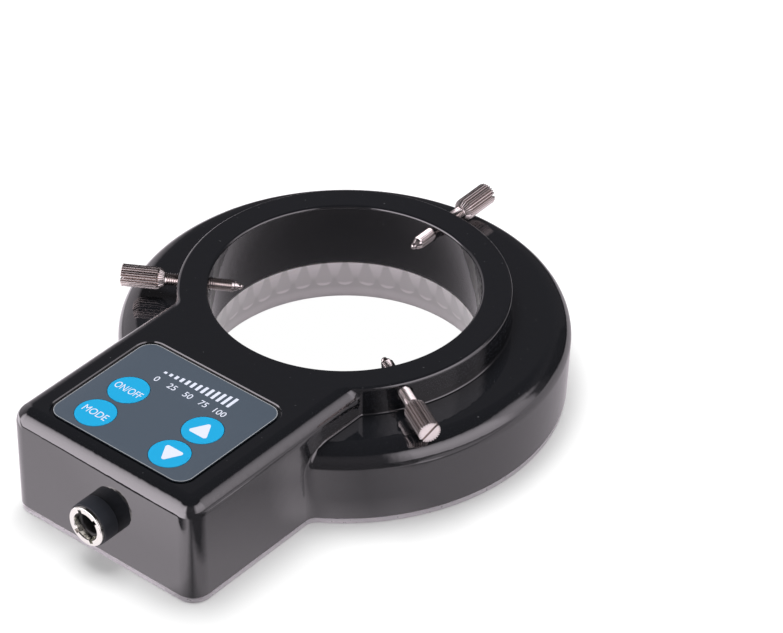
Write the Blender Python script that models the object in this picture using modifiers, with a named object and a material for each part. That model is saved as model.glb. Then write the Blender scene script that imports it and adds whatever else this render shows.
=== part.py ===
"""Ring light for a stereo microscope, modelled as an assembly of separate pieces.

A painted cast housing carries a ring with a raised collar and a control box.
Three thumb screws clamp the collar round the microscope's objective housing.
A clear cover with a frosted inner wall closes the underside, over eighty lamps.

Units are metres. The ring's axis is vertical, the control box lies towards -Y,
and the print on its panel reads along +X. The origin is at the middle of the
bounding box, on the surface that the light rests on.
"""
import math

import bmesh
import bpy
from mathutils import Matrix, Vector

MM = 0.001

# Driving sizes of the ring
bore_radius = 30.5 * MM
collar_wall = 6.9 * MM
overall_height = 27.1 * MM
collar_height = 7.3 * MM
ring_draft = 0.6 * MM
shoulder_round = 4.9 * MM
collar_round = 0.8 * MM
bore_round = 0.7 * MM
collar_foot_round = 0.5 * MM

# Driving sizes of the control box
panel_half_width = 19.55 * MM
panel_length = 32.2 * MM
panel_collar_gap = 5.2 * MM
panel_side_margin = 7.2 * MM
panel_front_margin = 4.85 * MM
box_corner_radius = 4.5 * MM
box_edge_round = 4.0 * MM
flank_foot_round = 1.2 * MM
collar_blend_radius = 1.8 * MM
ring_blend_radius = 3.0 * MM

# Walls and clearances
wall = 2.2 * MM
bore_wall = 2.1 * MM
seat_gap = 0.3 * MM
running_gap = 0.15 * MM
key_clearance = 0.12 * MM
overrun = 6.0 * MM
hidden_inset = 0.05 * MM

# Clear cover
cover_thickness = 1.4 * MM
cover_inset = 0.2 * MM
guide_flare = 2.0 * MM
guide_wall = 1.0 * MM
guide_lip_width = 0.5 * MM
guide_lip_height = 1.2 * MM

# Lamp board
lamps_per_row = 40
lamp_radius = 2.4 * MM
lamp_wall_gap = 3.4 * MM
lamp_row_spacing = 5.4 * MM
lamp_rim_gap = 9.4 * MM
lamp_tip_height = 4.4 * MM
lamp_root = 0.4 * MM
lamp_board_thickness = 1.6 * MM
lamp_board_drop = 5.0 * MM
lamp_board_rim = 0.6 * MM
bore_foot_drop = 1.2 * MM

# Thumb screws; each reach is how far the tip stands into the bore
thumb_back_turn = 91.0
thumb_turn_step = 120.0
thumb_reach_left = 7.5 * MM
thumb_reach_back = 6.6 * MM
thumb_reach_right = 6.3 * MM
thumb_axis_drop = 3.0 * MM
thumb_length = 27.6 * MM
thumb_head_length = 8.8 * MM
thumb_head_radius = 2.55 * MM
thumb_knurl_depth = 0.22 * MM
thumb_knurl_ridges = 26
thumb_chamfer = 0.35 * MM
thumb_cone_length = 1.1 * MM
thumb_cone_radius = 2.1 * MM
thumb_shaft_radius = 1.45 * MM
thumb_nose_radius = 1.0 * MM
thumb_nose_length = 1.9 * MM
thumb_tip_stem_radius = 0.55 * MM
thumb_tip_stem_length = 1.8 * MM
thumb_slot_width = 0.6 * MM
thumb_slot_depth = 0.9 * MM

# Panel and keys
panel_corner_radius = 3.4 * MM
panel_thickness = 0.3 * MM
panel_recess = 0.7 * MM
panel_side_gap = 0.75 * MM
key_radius = 4.6 * MM
key_thickness = 0.6 * MM
key_proud = 0.1 * MM
key_travel = 0.25 * MM
key_side_margin = 8.85 * MM
key_side_offset = -0.25 * MM
key_front_margin = 6.1 * MM
key_row_spacing = 10.25 * MM
key_stem_radius = 1.5 * MM
key_stem_drop = 0.4 * MM

# Control board and its switches
control_board_thickness = 1.6 * MM
control_board_side_gap = 1.3 * MM
control_board_rim = 0.6 * MM
switch_width = 6.0 * MM
switch_height = 3.5 * MM
switch_well_depth = 1.0 * MM
plunger_radius = 1.7 * MM
plunger_proud = 0.7 * MM
board_boss_radius = 2.2 * MM
board_boss_inset = 3.6 * MM

# Power socket on the front face
socket_board_gap = 2.3 * MM
socket_reach = 4.75 * MM
socket_barrel_radius = 5.5 * MM
socket_barrel_foot = 0.8 * MM
socket_barrel_reach = 4.0 * MM
sleeve_radius = 4.55 * MM
sleeve_bore = 3.3 * MM
sleeve_depth = 13.0 * MM
sleeve_lip = 0.4 * MM
sleeve_slit_width = 0.7 * MM
sleeve_slit_depth = 0.5 * MM
liner_bore = 2.6 * MM
liner_setback = 1.2 * MM
socket_pin_radius = 1.0 * MM
socket_pin_setback = 1.6 * MM
socket_nut_radius = 6.6 * MM
socket_nut_thickness = 2.2 * MM
socket_block_width = 9.0 * MM
socket_block_length = 5.0 * MM
socket_lug_width = 2.0 * MM
socket_lug_thickness = 0.5 * MM
socket_lug_length = 3.0 * MM

# Small screws that hold the cover and the control board
small_screw_radius = 1.0 * MM
small_screw_head_radius = 2.1 * MM
small_screw_head_height = 1.1 * MM
cover_screw_length = 8.0 * MM
board_screw_length = 5.0 * MM
boss_radius = 1.9 * MM
ring_boss_turns = (20.0, 90.0, 160.0)
front_boss_inset = 4.2 * MM

# Parts on the underside of the control board
chip_width = 5.0 * MM
chip_length = 6.2 * MM
chip_height = 1.5 * MM
coil_radius = 3.2 * MM
coil_height = 3.0 * MM
capacitor_radius = 2.5 * MM
capacitor_height = 6.0 * MM
connector_width = 7.4 * MM
connector_depth = 4.2 * MM
connector_height = 3.2 * MM
wire_radius = 0.55 * MM
wire_gap = 0.3 * MM

# How finely round shapes are cut
ring_sides = 60
half_plan_steps = 24
small_sides = 12
key_sides = 20
nut_sides = 6
lamp_sides = 6
round_steps = 4
fine_steps = 2
corner_steps = 4
flank_steps = 5
blend_steps = 3
merge_distance = 0.001 * MM
sharp_angle = math.radians(32)

# Heights that follow from the sizes above
housing_foot = cover_thickness + seat_gap
roof_underside = overall_height - wall
shoulder_height = overall_height - collar_height
shoulder_underside = shoulder_height - wall
lamp_board_height = shoulder_underside - lamp_board_drop
lamp_board_top = lamp_board_height + lamp_board_thickness
lamp_ledge = lamp_board_top + seat_gap
lamp_length = lamp_board_height - lamp_tip_height
bore_foot_height = lamp_board_height - bore_foot_drop
thumb_axis_height = overall_height - thumb_axis_drop
recess_floor = overall_height - panel_recess
panel_underside = recess_floor + seat_gap
panel_top = panel_underside + panel_thickness
key_top = panel_top + key_proud
key_underside = key_top - key_thickness
key_pocket_floor = key_underside - key_travel - running_gap
key_stem_foot = roof_underside - key_stem_drop
plunger_top = key_stem_foot - seat_gap
switch_top = plunger_top - plunger_proud
control_board_top = switch_top - switch_height - seat_gap
control_board_underside = control_board_top - control_board_thickness
socket_height = control_board_underside - socket_board_gap - socket_block_width / 2

# Radii and places in plan that follow from the sizes above
collar_radius = bore_radius + collar_wall
bore_wall_radius = bore_radius + bore_wall
guide_foot_radius = bore_radius + guide_flare
lamp_row_near = bore_wall_radius + lamp_wall_gap
lamp_row_far = lamp_row_near + lamp_row_spacing
ring_radius = lamp_row_far + lamp_rim_gap
ring_foot_radius = ring_radius - ring_draft
panel_far = collar_radius + panel_collar_gap
panel_near = panel_far + panel_length
key_near_row = panel_near - key_front_margin
key_far_row = key_near_row - key_row_spacing
key_side = panel_half_width - key_side_margin
key_left = key_side_offset - key_side
key_right = key_side_offset + key_side
box_half_width = panel_half_width + panel_side_margin
box_reach = panel_near + panel_front_margin
cavity_half_width = box_half_width - wall
cavity_front = box_reach - wall
cavity_back = collar_radius + bore_wall
socket_end = box_reach + socket_reach
key_places = (
    ("power", key_left, -key_far_row),
    ("mode", key_left, -key_near_row),
    ("up", key_right, -key_far_row),
    ("down", key_right, -key_near_row),
)

# Thumb screws: name, direction in degrees, distance of the tip from the ring's axis
thumb_screws = (
    ("thumb_screw_left", thumb_back_turn + thumb_turn_step, bore_radius - thumb_reach_left),
    ("thumb_screw_back", thumb_back_turn, bore_radius - thumb_reach_back),
    ("thumb_screw_right", thumb_back_turn - thumb_turn_step, bore_radius - thumb_reach_right),
)
back_turn = math.radians(thumb_back_turn)
back_end_radius = thumb_head_radius - thumb_chamfer
back_reach = (bore_radius - thumb_reach_back + thumb_length) * math.sin(back_turn)
back_reach += back_end_radius * abs(math.cos(back_turn))
ring_offset = (socket_end - back_reach) / 2

for old in list(bpy.data.objects):
    bpy.data.objects.remove(old, do_unlink=True)

parts = bpy.data.collections.new("microscope_ring_light")
cutters = bpy.data.collections.new("cutters")
bpy.context.scene.collection.children.link(parts)
bpy.context.scene.collection.children.link(cutters)
assembly = bpy.data.objects.new("ring_axis", None)
parts.objects.link(assembly)
assembly.location = (0, ring_offset, 0)


def material(name, colour, roughness, metallic=0.0, alpha=1.0):
    """Plain Principled material."""
    made = bpy.data.materials.new(name)
    made.use_nodes = True
    shader = made.node_tree.nodes["Principled BSDF"]
    shader.inputs["Base Color"].default_value = (*colour, 1.0)
    shader.inputs["Roughness"].default_value = roughness
    shader.inputs["Metallic"].default_value = metallic
    shader.inputs["Alpha"].default_value = alpha
    return made


black_paint = material("black_paint", (0.012, 0.012, 0.014), 0.18)
frosted_clear = material("frosted_clear", (0.62, 0.59, 0.61), 0.45, alpha=0.6)
nickel = material("nickel", (0.66, 0.63, 0.60), 0.2, 1.0)
panel_film = material("panel_film", (0.065, 0.082, 0.107), 0.4)
key_blue = material("key_blue", (0.012, 0.42, 0.80), 0.4)
board_green = material("board_green", (0.02, 0.16, 0.07), 0.45)
lamp_white = material("lamp_board_white", (0.75, 0.75, 0.72), 0.35)
black_plastic = material("black_plastic", (0.02, 0.02, 0.02), 0.5)
white_plastic = material("white_plastic", (0.8, 0.78, 0.7), 0.45)
zinc = material("zinc", (0.55, 0.55, 0.55), 0.35, 1.0)
copper = material("copper", (0.7, 0.32, 0.14), 0.4, 1.0)
red_wire = material("red_wire", (0.6, 0.02, 0.02), 0.5)
black_wire = material("black_wire", (0.015, 0.015, 0.015), 0.5)


def place(name, mesh, look=None, at=(0, 0, 0)):
    """Object in the assembly; a piece without a look is a cutter."""
    made = bpy.data.objects.new(name, mesh)
    made.parent = assembly
    made.location = at
    if look is None:
        cutters.objects.link(made)
        made.hide_render = True
        made.display_type = "WIRE"
    else:
        parts.objects.link(made)
        mesh.materials.append(look)
    return made


def from_bmesh(name, bm, look=None, at=(0, 0, 0)):
    """Object from a bmesh, with its faces turned outwards."""
    bmesh.ops.recalc_face_normals(bm, faces=bm.faces)
    mesh = bpy.data.meshes.new(name)
    bm.to_mesh(mesh)
    bm.free()
    return place(name, mesh, look, at)


def turned(name, profile, sides, look=None, at=(0, 0, 0), closed=True):
    """Solid of revolution about local Z; the profile runs down its outer side."""
    mesh = bpy.data.meshes.new(name)
    count = len(profile)
    edges = [(i, i + 1) for i in range(count - 1)]
    if closed:
        edges.append((count - 1, 0))
    mesh.from_pydata([(r, 0, z) for r, z in profile], edges, [])
    made = place(name, mesh, look, at)
    screw = made.modifiers.new("turn", "SCREW")
    screw.steps = sides
    screw.render_steps = sides
    screw.use_merge_vertices = True
    screw.merge_threshold = merge_distance
    screw.use_smooth_shade = False
    return made


def loft(name, levels, look=None, at=(0, 0, 0)):
    """Closed solid through level outlines of equal point count, top level first."""
    bm = bmesh.new()
    rings = [[bm.verts.new(point) for point in level] for level in levels]
    count = len(rings[0])
    for upper, lower in zip(rings, rings[1:]):
        for i in range(count):
            j = (i + 1) % count
            bm.faces.new((upper[i], lower[i], lower[j], upper[j]))
    bm.faces.new(rings[0])
    bm.faces.new(reversed(rings[-1]))
    return from_bmesh(name, bm, look, at)


def cylinder(name, radius, low, high, sides, look=None, at=(0, 0, 0), tip_radius=None):
    """Upright cylinder or cone from one height to another."""
    bm = bmesh.new()
    top = radius if tip_radius is None else tip_radius
    middle = Matrix.Translation((0, 0, (low + high) / 2))
    bmesh.ops.create_cone(
        bm, cap_ends=True, segments=sides, radius1=radius, radius2=top, depth=high - low, matrix=middle
    )
    return from_bmesh(name, bm, look, at)


def block(name, size, low, look=None, at=(0, 0, 0)):
    """Box centred in plan on its place, standing on the given height."""
    bm = bmesh.new()
    middle = Matrix.Translation((0, 0, low + size[2] / 2)) @ Matrix.Diagonal((*size, 1))
    bmesh.ops.create_cube(bm, size=1, matrix=middle)
    return from_bmesh(name, bm, look, at)


def boolean(target, operation, tool):
    """Boolean modifier with the exact solver."""
    made = target.modifiers.new(operation.lower() + "_" + tool.name, "BOOLEAN")
    made.operation = operation
    made.solver = "EXACT"
    made.object = tool


def arc(centre, radius, start, end, steps):
    """Points of an arc, angles in degrees, both ends included."""
    angles = [math.radians(start + (end - start) * k / steps) for k in range(steps + 1)]
    return [(centre[0] + radius * math.cos(a), centre[1] + radius * math.sin(a)) for a in angles]


def blend_centre(radius, half_width, blend):
    """Centre of the fillet between the box's right flank and a circle round the ring's axis."""
    x = half_width + blend
    return x, -math.sqrt((radius + blend) ** 2 - x ** 2)


def half_outline(radius, half_width, reach, corner, blend, flank_start=0.0, flank_steps=0):
    """Right half of the plan, from the middle of the front face to the back of the ring.

    Each point is (x, y, share of the box in it): one on the box, zero on the circle.
    The flank has extra points from flank_start back to the fillet.
    """
    centre = blend_centre(radius, half_width, blend)
    turn_out = math.degrees(math.atan2(-centre[1], -centre[0]))
    turn_in = math.degrees(math.atan2(centre[1], centre[0]))
    points = [(0, -reach, 1.0)]
    corner_centre = (half_width - corner, corner - reach)
    points += [(x, y, 1.0) for x, y in arc(corner_centre, corner, -90, 0, corner_steps)]
    flank = [flank_start + (centre[1] - flank_start) * k / flank_steps for k in range(flank_steps)]
    points += [(half_width, y, 1.0) for y in flank]
    fillet = arc(centre, blend, 180, turn_out, blend_steps)
    points += [(x, y, 1 - k / blend_steps) for k, (x, y) in enumerate(fillet)]
    points += [(x, y, 0.0) for x, y in arc((0, 0), radius, turn_in, 90, half_plan_steps)[1:]]
    return points


def whole(half):
    """Whole outline from its right half."""
    left = [(-point[0], *point[1:]) for point in reversed(half[1:-1])]
    return list(half) + left


def flat(outline, height):
    """Outline as points at one height."""
    return [(x, y, height) for x, y, _ in outline]


def rounded_plate(half_x, near, far, corner, low, high, name, look=None):
    """Rounded rectangle between two distances in front of the ring's axis."""
    points = arc((half_x - corner, -far - corner), corner, 0, 90, corner_steps)
    points += arc((corner - half_x, -far - corner), corner, 90, 180, corner_steps)
    points += arc((corner - half_x, corner - near), corner, 180, 270, corner_steps)
    points += arc((half_x - corner, corner - near), corner, 270, 360, corner_steps)
    levels = [[(x, y, z) for x, y in points] for z in (high, low)]
    return loft(name, levels, look)


def shoulder_level(x, y):
    """Height of the ring's rounded shoulder at a point in plan."""
    centre = blend_centre(ring_radius, box_half_width, ring_blend_radius)
    inside = ring_radius - math.hypot(x, y)
    if y < centre[1] * ring_radius / (ring_radius + ring_blend_radius):
        inside = math.hypot(abs(x) - centre[0], y - centre[1]) - ring_blend_radius
    depth = min(max(shoulder_round - inside, 0.0), shoulder_round)
    return shoulder_height - shoulder_round + math.sqrt(shoulder_round ** 2 - depth ** 2)


def housing_upper_block():
    """Control box and collar in one loft, with a wide edge on the box and a fine one on the collar."""
    start = blend_centre(ring_radius, box_half_width, ring_blend_radius)[1]

    def outline(box_inset, collar_inset):
        return whole(half_outline(
            collar_radius - collar_inset, box_half_width - box_inset, box_reach - box_inset,
            box_corner_radius - box_inset, collar_blend_radius + (box_inset + collar_inset) / 2,
            start, flank_steps,
        ))

    levels = []
    for k in range(round_steps, -1, -1):
        turn = math.pi / 2 * k / round_steps
        rise, inset = 1 - math.sin(turn), 1 - math.cos(turn)
        ring = outline(box_edge_round * inset, collar_round * inset)
        edge = [box_edge_round * share + collar_round * (1 - share) for _, _, share in ring]
        levels.append([(x, y, overall_height - r * rise) for (x, y, _), r in zip(ring, edge)])

    base = outline(0.0, 0.0)
    wide = outline(-flank_foot_round, -collar_foot_round)
    for k in range(3):
        turn = math.pi / 4 * k
        grown, lift = 1 - math.cos(turn), 1 - math.sin(turn)
        level = []
        for (x, y, share), (wide_x, wide_y, _) in zip(base, wide):
            foot = flank_foot_round * share + collar_foot_round * (1 - share)
            ground = shoulder_level(x, y)
            strength = (ground + shoulder_round - shoulder_height) / shoulder_round if y > start else 0.0
            push = grown * strength
            height = ground + foot * strength * lift
            level.append((x + (wide_x - x) * push, y + (wide_y - y) * push, height))
        levels.append(level)
    hidden = shoulder_height - shoulder_round - wall
    levels.append(flat(base, hidden))
    levels.append(flat(base, -overrun))
    return loft("housing", levels, black_paint)


def housing_lower_block():
    """Ring body with its rounded shoulder, filleted into the box's flanks."""
    def outline(inset):
        return whole(half_outline(
            ring_radius - inset, box_half_width - hidden_inset - inset, box_reach - wall - inset,
            box_corner_radius, ring_blend_radius + inset,
        ))

    levels = []
    for k in range(round_steps, -1, -1):
        turn = math.pi / 2 * k / round_steps
        height = shoulder_height - shoulder_round * (1 - math.sin(turn))
        levels.append(flat(outline(shoulder_round * (1 - math.cos(turn))), height))
    drafted = whole(half_outline(
        ring_foot_radius, box_half_width - hidden_inset, box_reach - wall,
        box_corner_radius, ring_blend_radius,
    ))
    levels.append(flat(drafted, 0.0))
    levels.append(flat(drafted, -overrun / 2))
    return loft("housing_ring_body", levels)


def bore_cutter():
    """Bore with a rounded mouth, opening out below the black wall's foot for the frosted wall."""
    mouth = arc((bore_radius + bore_round, overall_height - bore_round), bore_round, 90, 180, fine_steps)
    profile = [(0, overall_height + overrun), (bore_radius + bore_round, overall_height + overrun)]
    profile += mouth
    profile += [(bore_radius, bore_foot_height), (bore_wall_radius + wall, bore_foot_height)]
    profile += [(bore_wall_radius + wall, -overrun * 2), (0, -overrun * 2)]
    return turned("bore_cutter", profile, ring_sides, closed=False)


def ring_cavity_cutter():
    """Space for the lamp board, between the bore's wall and the outer wall."""
    outer = ring_radius - wall
    inner_round = shoulder_round - wall
    ledge_edge = collar_radius + wall / 2
    profile = [(bore_wall_radius, lamp_ledge), (ledge_edge, lamp_ledge), (ledge_edge, shoulder_underside)]
    profile += arc((outer - inner_round, shoulder_underside - inner_round), inner_round, 90, 0, fine_steps)
    profile += [(outer - ring_draft, -overrun * 2), (bore_wall_radius, -overrun * 2)]
    return turned("ring_cavity_cutter", profile, ring_sides)


def box_cavity_cutter():
    """Space for the control board, open below and into the ring's cavity."""
    return rounded_plate(
        cavity_half_width, cavity_front, cavity_back, box_corner_radius - wall,
        -overrun * 2, roof_underside, "box_cavity_cutter",
    )


def cover_screw_places():
    """Places of the screws that hold the cover, in plan."""
    reach = ring_radius - wall - boss_radius + hidden_inset
    places = []
    for turn in ring_boss_turns:
        angle = math.radians(turn)
        places.append((reach * math.cos(angle), reach * math.sin(angle)))
    side = box_half_width - front_boss_inset
    places += [(side, front_boss_inset - box_reach), (-side, front_boss_inset - box_reach)]
    return places


def board_screw_places():
    """Places of the screws that hold the control board, in plan."""
    side = cavity_half_width - board_boss_inset - control_board_side_gap
    far = cavity_back + board_boss_inset + control_board_side_gap
    near = (key_far_row + key_near_row) / 2
    near_side = side + board_boss_inset / 2
    return [(side, -far), (-side, -far), (near_side, -near), (-near_side, -near)]


def housing():
    """Painted housing: outer form, cavities, bosses and holes."""
    body = housing_upper_block()
    boolean(body, "UNION", housing_lower_block())
    boolean(body, "UNION", socket_barrel())
    boolean(body, "DIFFERENCE", bore_cutter())
    boolean(body, "DIFFERENCE", ring_cavity_cutter())
    boolean(body, "DIFFERENCE", box_cavity_cutter())
    for index, (x, y) in enumerate(cover_screw_places()):
        top = shoulder_height - wall / 2 if y > 0 else overall_height - wall / 2
        boss = cylinder("cover_boss_%d" % index, boss_radius, housing_foot, top, small_sides, at=(x, y, 0))
        boolean(body, "UNION", boss)
    for index, (x, y) in enumerate(board_screw_places()):
        boss = cylinder(
            "board_boss_%d" % index, board_boss_radius, control_board_top + seat_gap,
            overall_height - wall / 2, small_sides, at=(x, y, 0),
        )
        boolean(body, "UNION", boss)
    floor = block("floor_cutter", (box_reach * 3, box_reach * 3, overrun * 4), housing_foot - overrun * 4)
    boolean(body, "DIFFERENCE", floor)
    for index, (x, y) in enumerate(cover_screw_places()):
        pilot = cylinder(
            "cover_pilot_%d" % index, small_screw_radius + running_gap, -overrun,
            cover_screw_length + seat_gap, small_sides, at=(x, y, 0),
        )
        boolean(body, "DIFFERENCE", pilot)
    for index, (x, y) in enumerate(board_screw_places()):
        pilot = cylinder(
            "board_pilot_%d" % index, small_screw_radius + running_gap, control_board_underside,
            control_board_underside + board_screw_length, small_sides, at=(x, y, 0),
        )
        boolean(body, "DIFFERENCE", pilot)
    recess = rounded_plate(
        panel_half_width + panel_side_gap, panel_near + panel_side_gap, panel_far - panel_side_gap,
        panel_corner_radius + panel_side_gap, recess_floor, overall_height + overrun, "panel_recess_cutter",
    )
    boolean(body, "DIFFERENCE", recess)
    for name, x, y in key_places:
        pocket = cylinder(
            "key_pocket_" + name, key_radius + seat_gap, key_pocket_floor,
            overall_height + overrun, key_sides, at=(x, y, 0),
        )
        boolean(body, "DIFFERENCE", pocket)
        stem = cylinder(
            "key_stem_hole_" + name, key_stem_radius + seat_gap, roof_underside - wall,
            overall_height, small_sides, at=(x, y, 0),
        )
        boolean(body, "DIFFERENCE", stem)
    for name, turn, _ in thumb_screws:
        hole = cylinder(
            name + "_hole", thumb_shaft_radius + running_gap, bore_radius - overrun,
            collar_radius + overrun, small_sides, at=(0, 0, thumb_axis_height),
        )
        hole.rotation_euler = outward_turn(turn)
        boolean(body, "DIFFERENCE", hole)
    opening = cylinder(
        "socket_hole", sleeve_radius + seat_gap, cavity_front - overrun, socket_end + overrun,
        key_sides, at=(0, 0, socket_height),
    )
    opening.rotation_euler = outward_turn(270.0)
    boolean(body, "DIFFERENCE", opening)


def outward_turn(degrees):
    """Rotation that lays local +Z out from the ring's axis in the given direction."""
    return (0, math.pi / 2, math.radians(degrees))


def socket_barrel():
    """Short barrel on the front face, round the power socket."""
    foot = box_reach - wall / 2
    face = box_reach
    end = box_reach + socket_barrel_reach
    profile = [(0, end), (socket_barrel_radius - sleeve_lip, end), (socket_barrel_radius, end - sleeve_lip)]
    profile += [(socket_barrel_radius, face + socket_barrel_foot)]
    profile += [(socket_barrel_radius + socket_barrel_foot, face)]
    profile += [(socket_barrel_radius + socket_barrel_foot, foot), (0, foot)]
    made = turned("socket_barrel", profile, key_sides, at=(0, 0, socket_height), closed=False)
    made.rotation_euler = outward_turn(270.0)
    return made


def clear_cover():
    """Clear bottom plate with the frosted wall that rises inside the ring."""
    edge = cover_thickness / 4
    levels = []
    for trim, height in ((0, cover_thickness), (0, edge), (edge, 0)):
        inset = trim + cover_inset
        outline = whole(half_outline(
            ring_foot_radius - inset, box_half_width - inset, box_reach - inset,
            box_corner_radius - inset, ring_blend_radius + inset,
        ))
        levels.append(flat(outline, height))
    cover = loft("clear_cover", levels, frosted_clear)
    rim_height = bore_foot_height - seat_gap
    lip_top = lamp_board_height - seat_gap
    slope = guide_flare / rim_height
    lip_inner = bore_wall_radius + seat_gap
    lip_outer = lip_inner + guide_lip_width
    lip_foot = rim_height - guide_lip_height / 2
    profile = [(bore_radius - guide_wall, lip_top), (lip_outer, lip_top), (lip_outer, lip_foot)]
    profile += [(bore_radius + guide_wall + slope * guide_lip_height, rim_height - 2 * guide_lip_height)]
    profile += [(guide_foot_radius + guide_wall, cover_thickness / 2)]
    profile += [(bore_radius - guide_wall, cover_thickness / 2)]
    boolean(cover, "UNION", turned("guide_outer", profile, ring_sides))
    hollow = [(0, lip_top + overrun), (lip_inner, lip_top + overrun), (lip_inner, rim_height)]
    hollow += [(bore_radius + hidden_inset, rim_height)]
    hollow += [(guide_foot_radius + slope * overrun, -overrun), (0, -overrun)]
    boolean(cover, "DIFFERENCE", turned("guide_hollow", hollow, ring_sides, closed=False))
    for index, (x, y) in enumerate(cover_screw_places()):
        sink = [(0, cover_thickness + overrun), (small_screw_radius + seat_gap, cover_thickness + overrun)]
        sink += [(small_screw_radius + seat_gap, small_screw_head_height + seat_gap)]
        sink += [(small_screw_head_radius + seat_gap, seat_gap)]
        sink += [(small_screw_head_radius + seat_gap, -overrun), (0, -overrun)]
        tool = turned("cover_sink_%d" % index, sink, small_sides, at=(x, y, 0), closed=False)
        boolean(cover, "DIFFERENCE", tool)


def cover_screws():
    """Countersunk screws from below, through the cover into the housing's bosses."""
    for index, (x, y) in enumerate(cover_screw_places()):
        profile = [(0, cover_screw_length), (small_screw_radius, cover_screw_length - small_screw_radius)]
        profile += [(small_screw_radius, small_screw_head_height)]
        profile += [(small_screw_head_radius, hidden_inset * 2), (0, hidden_inset * 2)]
        screw = turned("cover_screw_%d" % (index + 1), profile, small_sides, zinc, (x, y, 0), closed=False)
        slot_width = small_screw_radius / 2
        slot_size = (small_screw_head_radius * 3, slot_width, slot_width * 2)
        slot = block("cover_slot_%d" % index, slot_size, -slot_width, at=(x, y, 0))
        boolean(screw, "DIFFERENCE", slot)


def lamp_board():
    """Ring-shaped board with two rows of round lamps that point down."""
    inner = bore_wall_radius + seat_gap
    outer = lamp_row_far + lamp_radius + lamp_board_rim
    profile = [(inner, lamp_board_top), (outer, lamp_board_top)]
    profile += [(outer, lamp_board_height), (inner, lamp_board_height)]
    board = turned("lamp_board", profile, ring_sides, lamp_white)
    bm = bmesh.new()
    root = lamp_board_height + lamp_root
    shoulder = lamp_board_height - lamp_length + lamp_radius
    for radius, stagger in ((lamp_row_near, 0.0), (lamp_row_far, 0.5)):
        for index in range(lamps_per_row):
            turn = 2 * math.pi * (index + stagger) / lamps_per_row
            spot = Matrix.Rotation(turn, 4, "Z") @ Matrix.Translation((radius, 0, 0))
            lamp(bm, spot, root, shoulder)
    boolean(board, "UNION", from_bmesh("lamps", bm))


def lamp(bm, spot, root, shoulder):
    """One lamp: a straight body with a domed end, below its root in the board."""
    rings = [(lamp_radius, root), (lamp_radius, shoulder)]
    rings.append((lamp_radius * math.cos(math.pi / 4), shoulder - lamp_radius * math.sin(math.pi / 4)))
    loops = []
    for radius, height in rings:
        turns = [2 * math.pi * k / lamp_sides for k in range(lamp_sides)]
        spots = [Vector((radius * math.cos(a), radius * math.sin(a), height)) for a in turns]
        loops.append([bm.verts.new(spot @ point) for point in spots])
    tip = bm.verts.new(spot @ Vector((0, 0, shoulder - lamp_radius)))
    bm.faces.new(loops[0])
    for k in range(lamp_sides):
        j = (k + 1) % lamp_sides
        bm.faces.new((loops[0][k], loops[1][k], loops[1][j], loops[0][j]))
        bm.faces.new((loops[1][k], loops[2][k], loops[2][j], loops[1][j]))
        bm.faces.new((loops[2][k], tip, loops[2][j]))


def control_board():
    """Board under the panel, with pads for its screws."""
    half_x = cavity_half_width - control_board_side_gap
    board = rounded_plate(
        half_x, key_near_row + switch_width / 2 + control_board_rim, cavity_back + control_board_side_gap,
        box_corner_radius - wall, control_board_underside, control_board_top, "control_board", board_green,
    )
    for index, (x, y) in enumerate(board_screw_places()):
        hole = cylinder(
            "board_hole_%d" % index, small_screw_radius + seat_gap, control_board_underside - wall,
            control_board_top + wall, small_sides, at=(x, y, 0),
        )
        boolean(board, "DIFFERENCE", hole)
        low = control_board_underside - seat_gap
        end = low + board_screw_length
        head = low - small_screw_head_height
        profile = [(0, end), (small_screw_radius, end - small_screw_radius)]
        profile += [(small_screw_radius, low), (small_screw_head_radius, low)]
        profile += [(small_screw_head_radius, low - small_screw_head_height / 2)]
        profile += [(small_screw_head_radius / 2, head), (0, head)]
        turned("board_screw_%d" % (index + 1), profile, small_sides, zinc, (x, y, 0), closed=False)


def keys():
    """Four membrane keys, each over a push switch on the control board."""
    for name, x, y in key_places:
        stem_profile = [(0, key_top), (key_radius - key_proud, key_top), (key_radius, key_top - key_proud)]
        stem_profile += [(key_radius, key_underside), (key_stem_radius, key_underside)]
        stem_profile += [(key_stem_radius, key_stem_foot), (0, key_stem_foot)]
        turned("key_" + name, stem_profile, key_sides, key_blue, (x, y, 0), closed=False)
        well_floor = switch_top - switch_well_depth
        cylinder(
            "plunger_" + name, plunger_radius, well_floor + key_travel + running_gap,
            plunger_top, small_sides, black_plastic, (x, y, 0),
        )
        size = (switch_width, switch_width, switch_height)
        body = block("switch_" + name, size, switch_top - switch_height, zinc, (x, y, 0))
        well = cylinder(
            "switch_well_" + name, plunger_radius + seat_gap, well_floor,
            switch_top + wall, small_sides, at=(x, y, 0),
        )
        boolean(body, "DIFFERENCE", well)


def panel_overlay():
    """Printed film in the recess of the box's top, with a round window for each key."""
    film = rounded_plate(
        panel_half_width, panel_near, panel_far, panel_corner_radius,
        panel_underside, panel_top, "panel_overlay", panel_film,
    )
    for name, x, y in key_places:
        window = cylinder(
            "key_window_" + name, key_radius + key_clearance, panel_underside - seat_gap,
            panel_top + wall, key_sides, at=(x, y, 0),
        )
        boolean(film, "DIFFERENCE", window)


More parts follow.
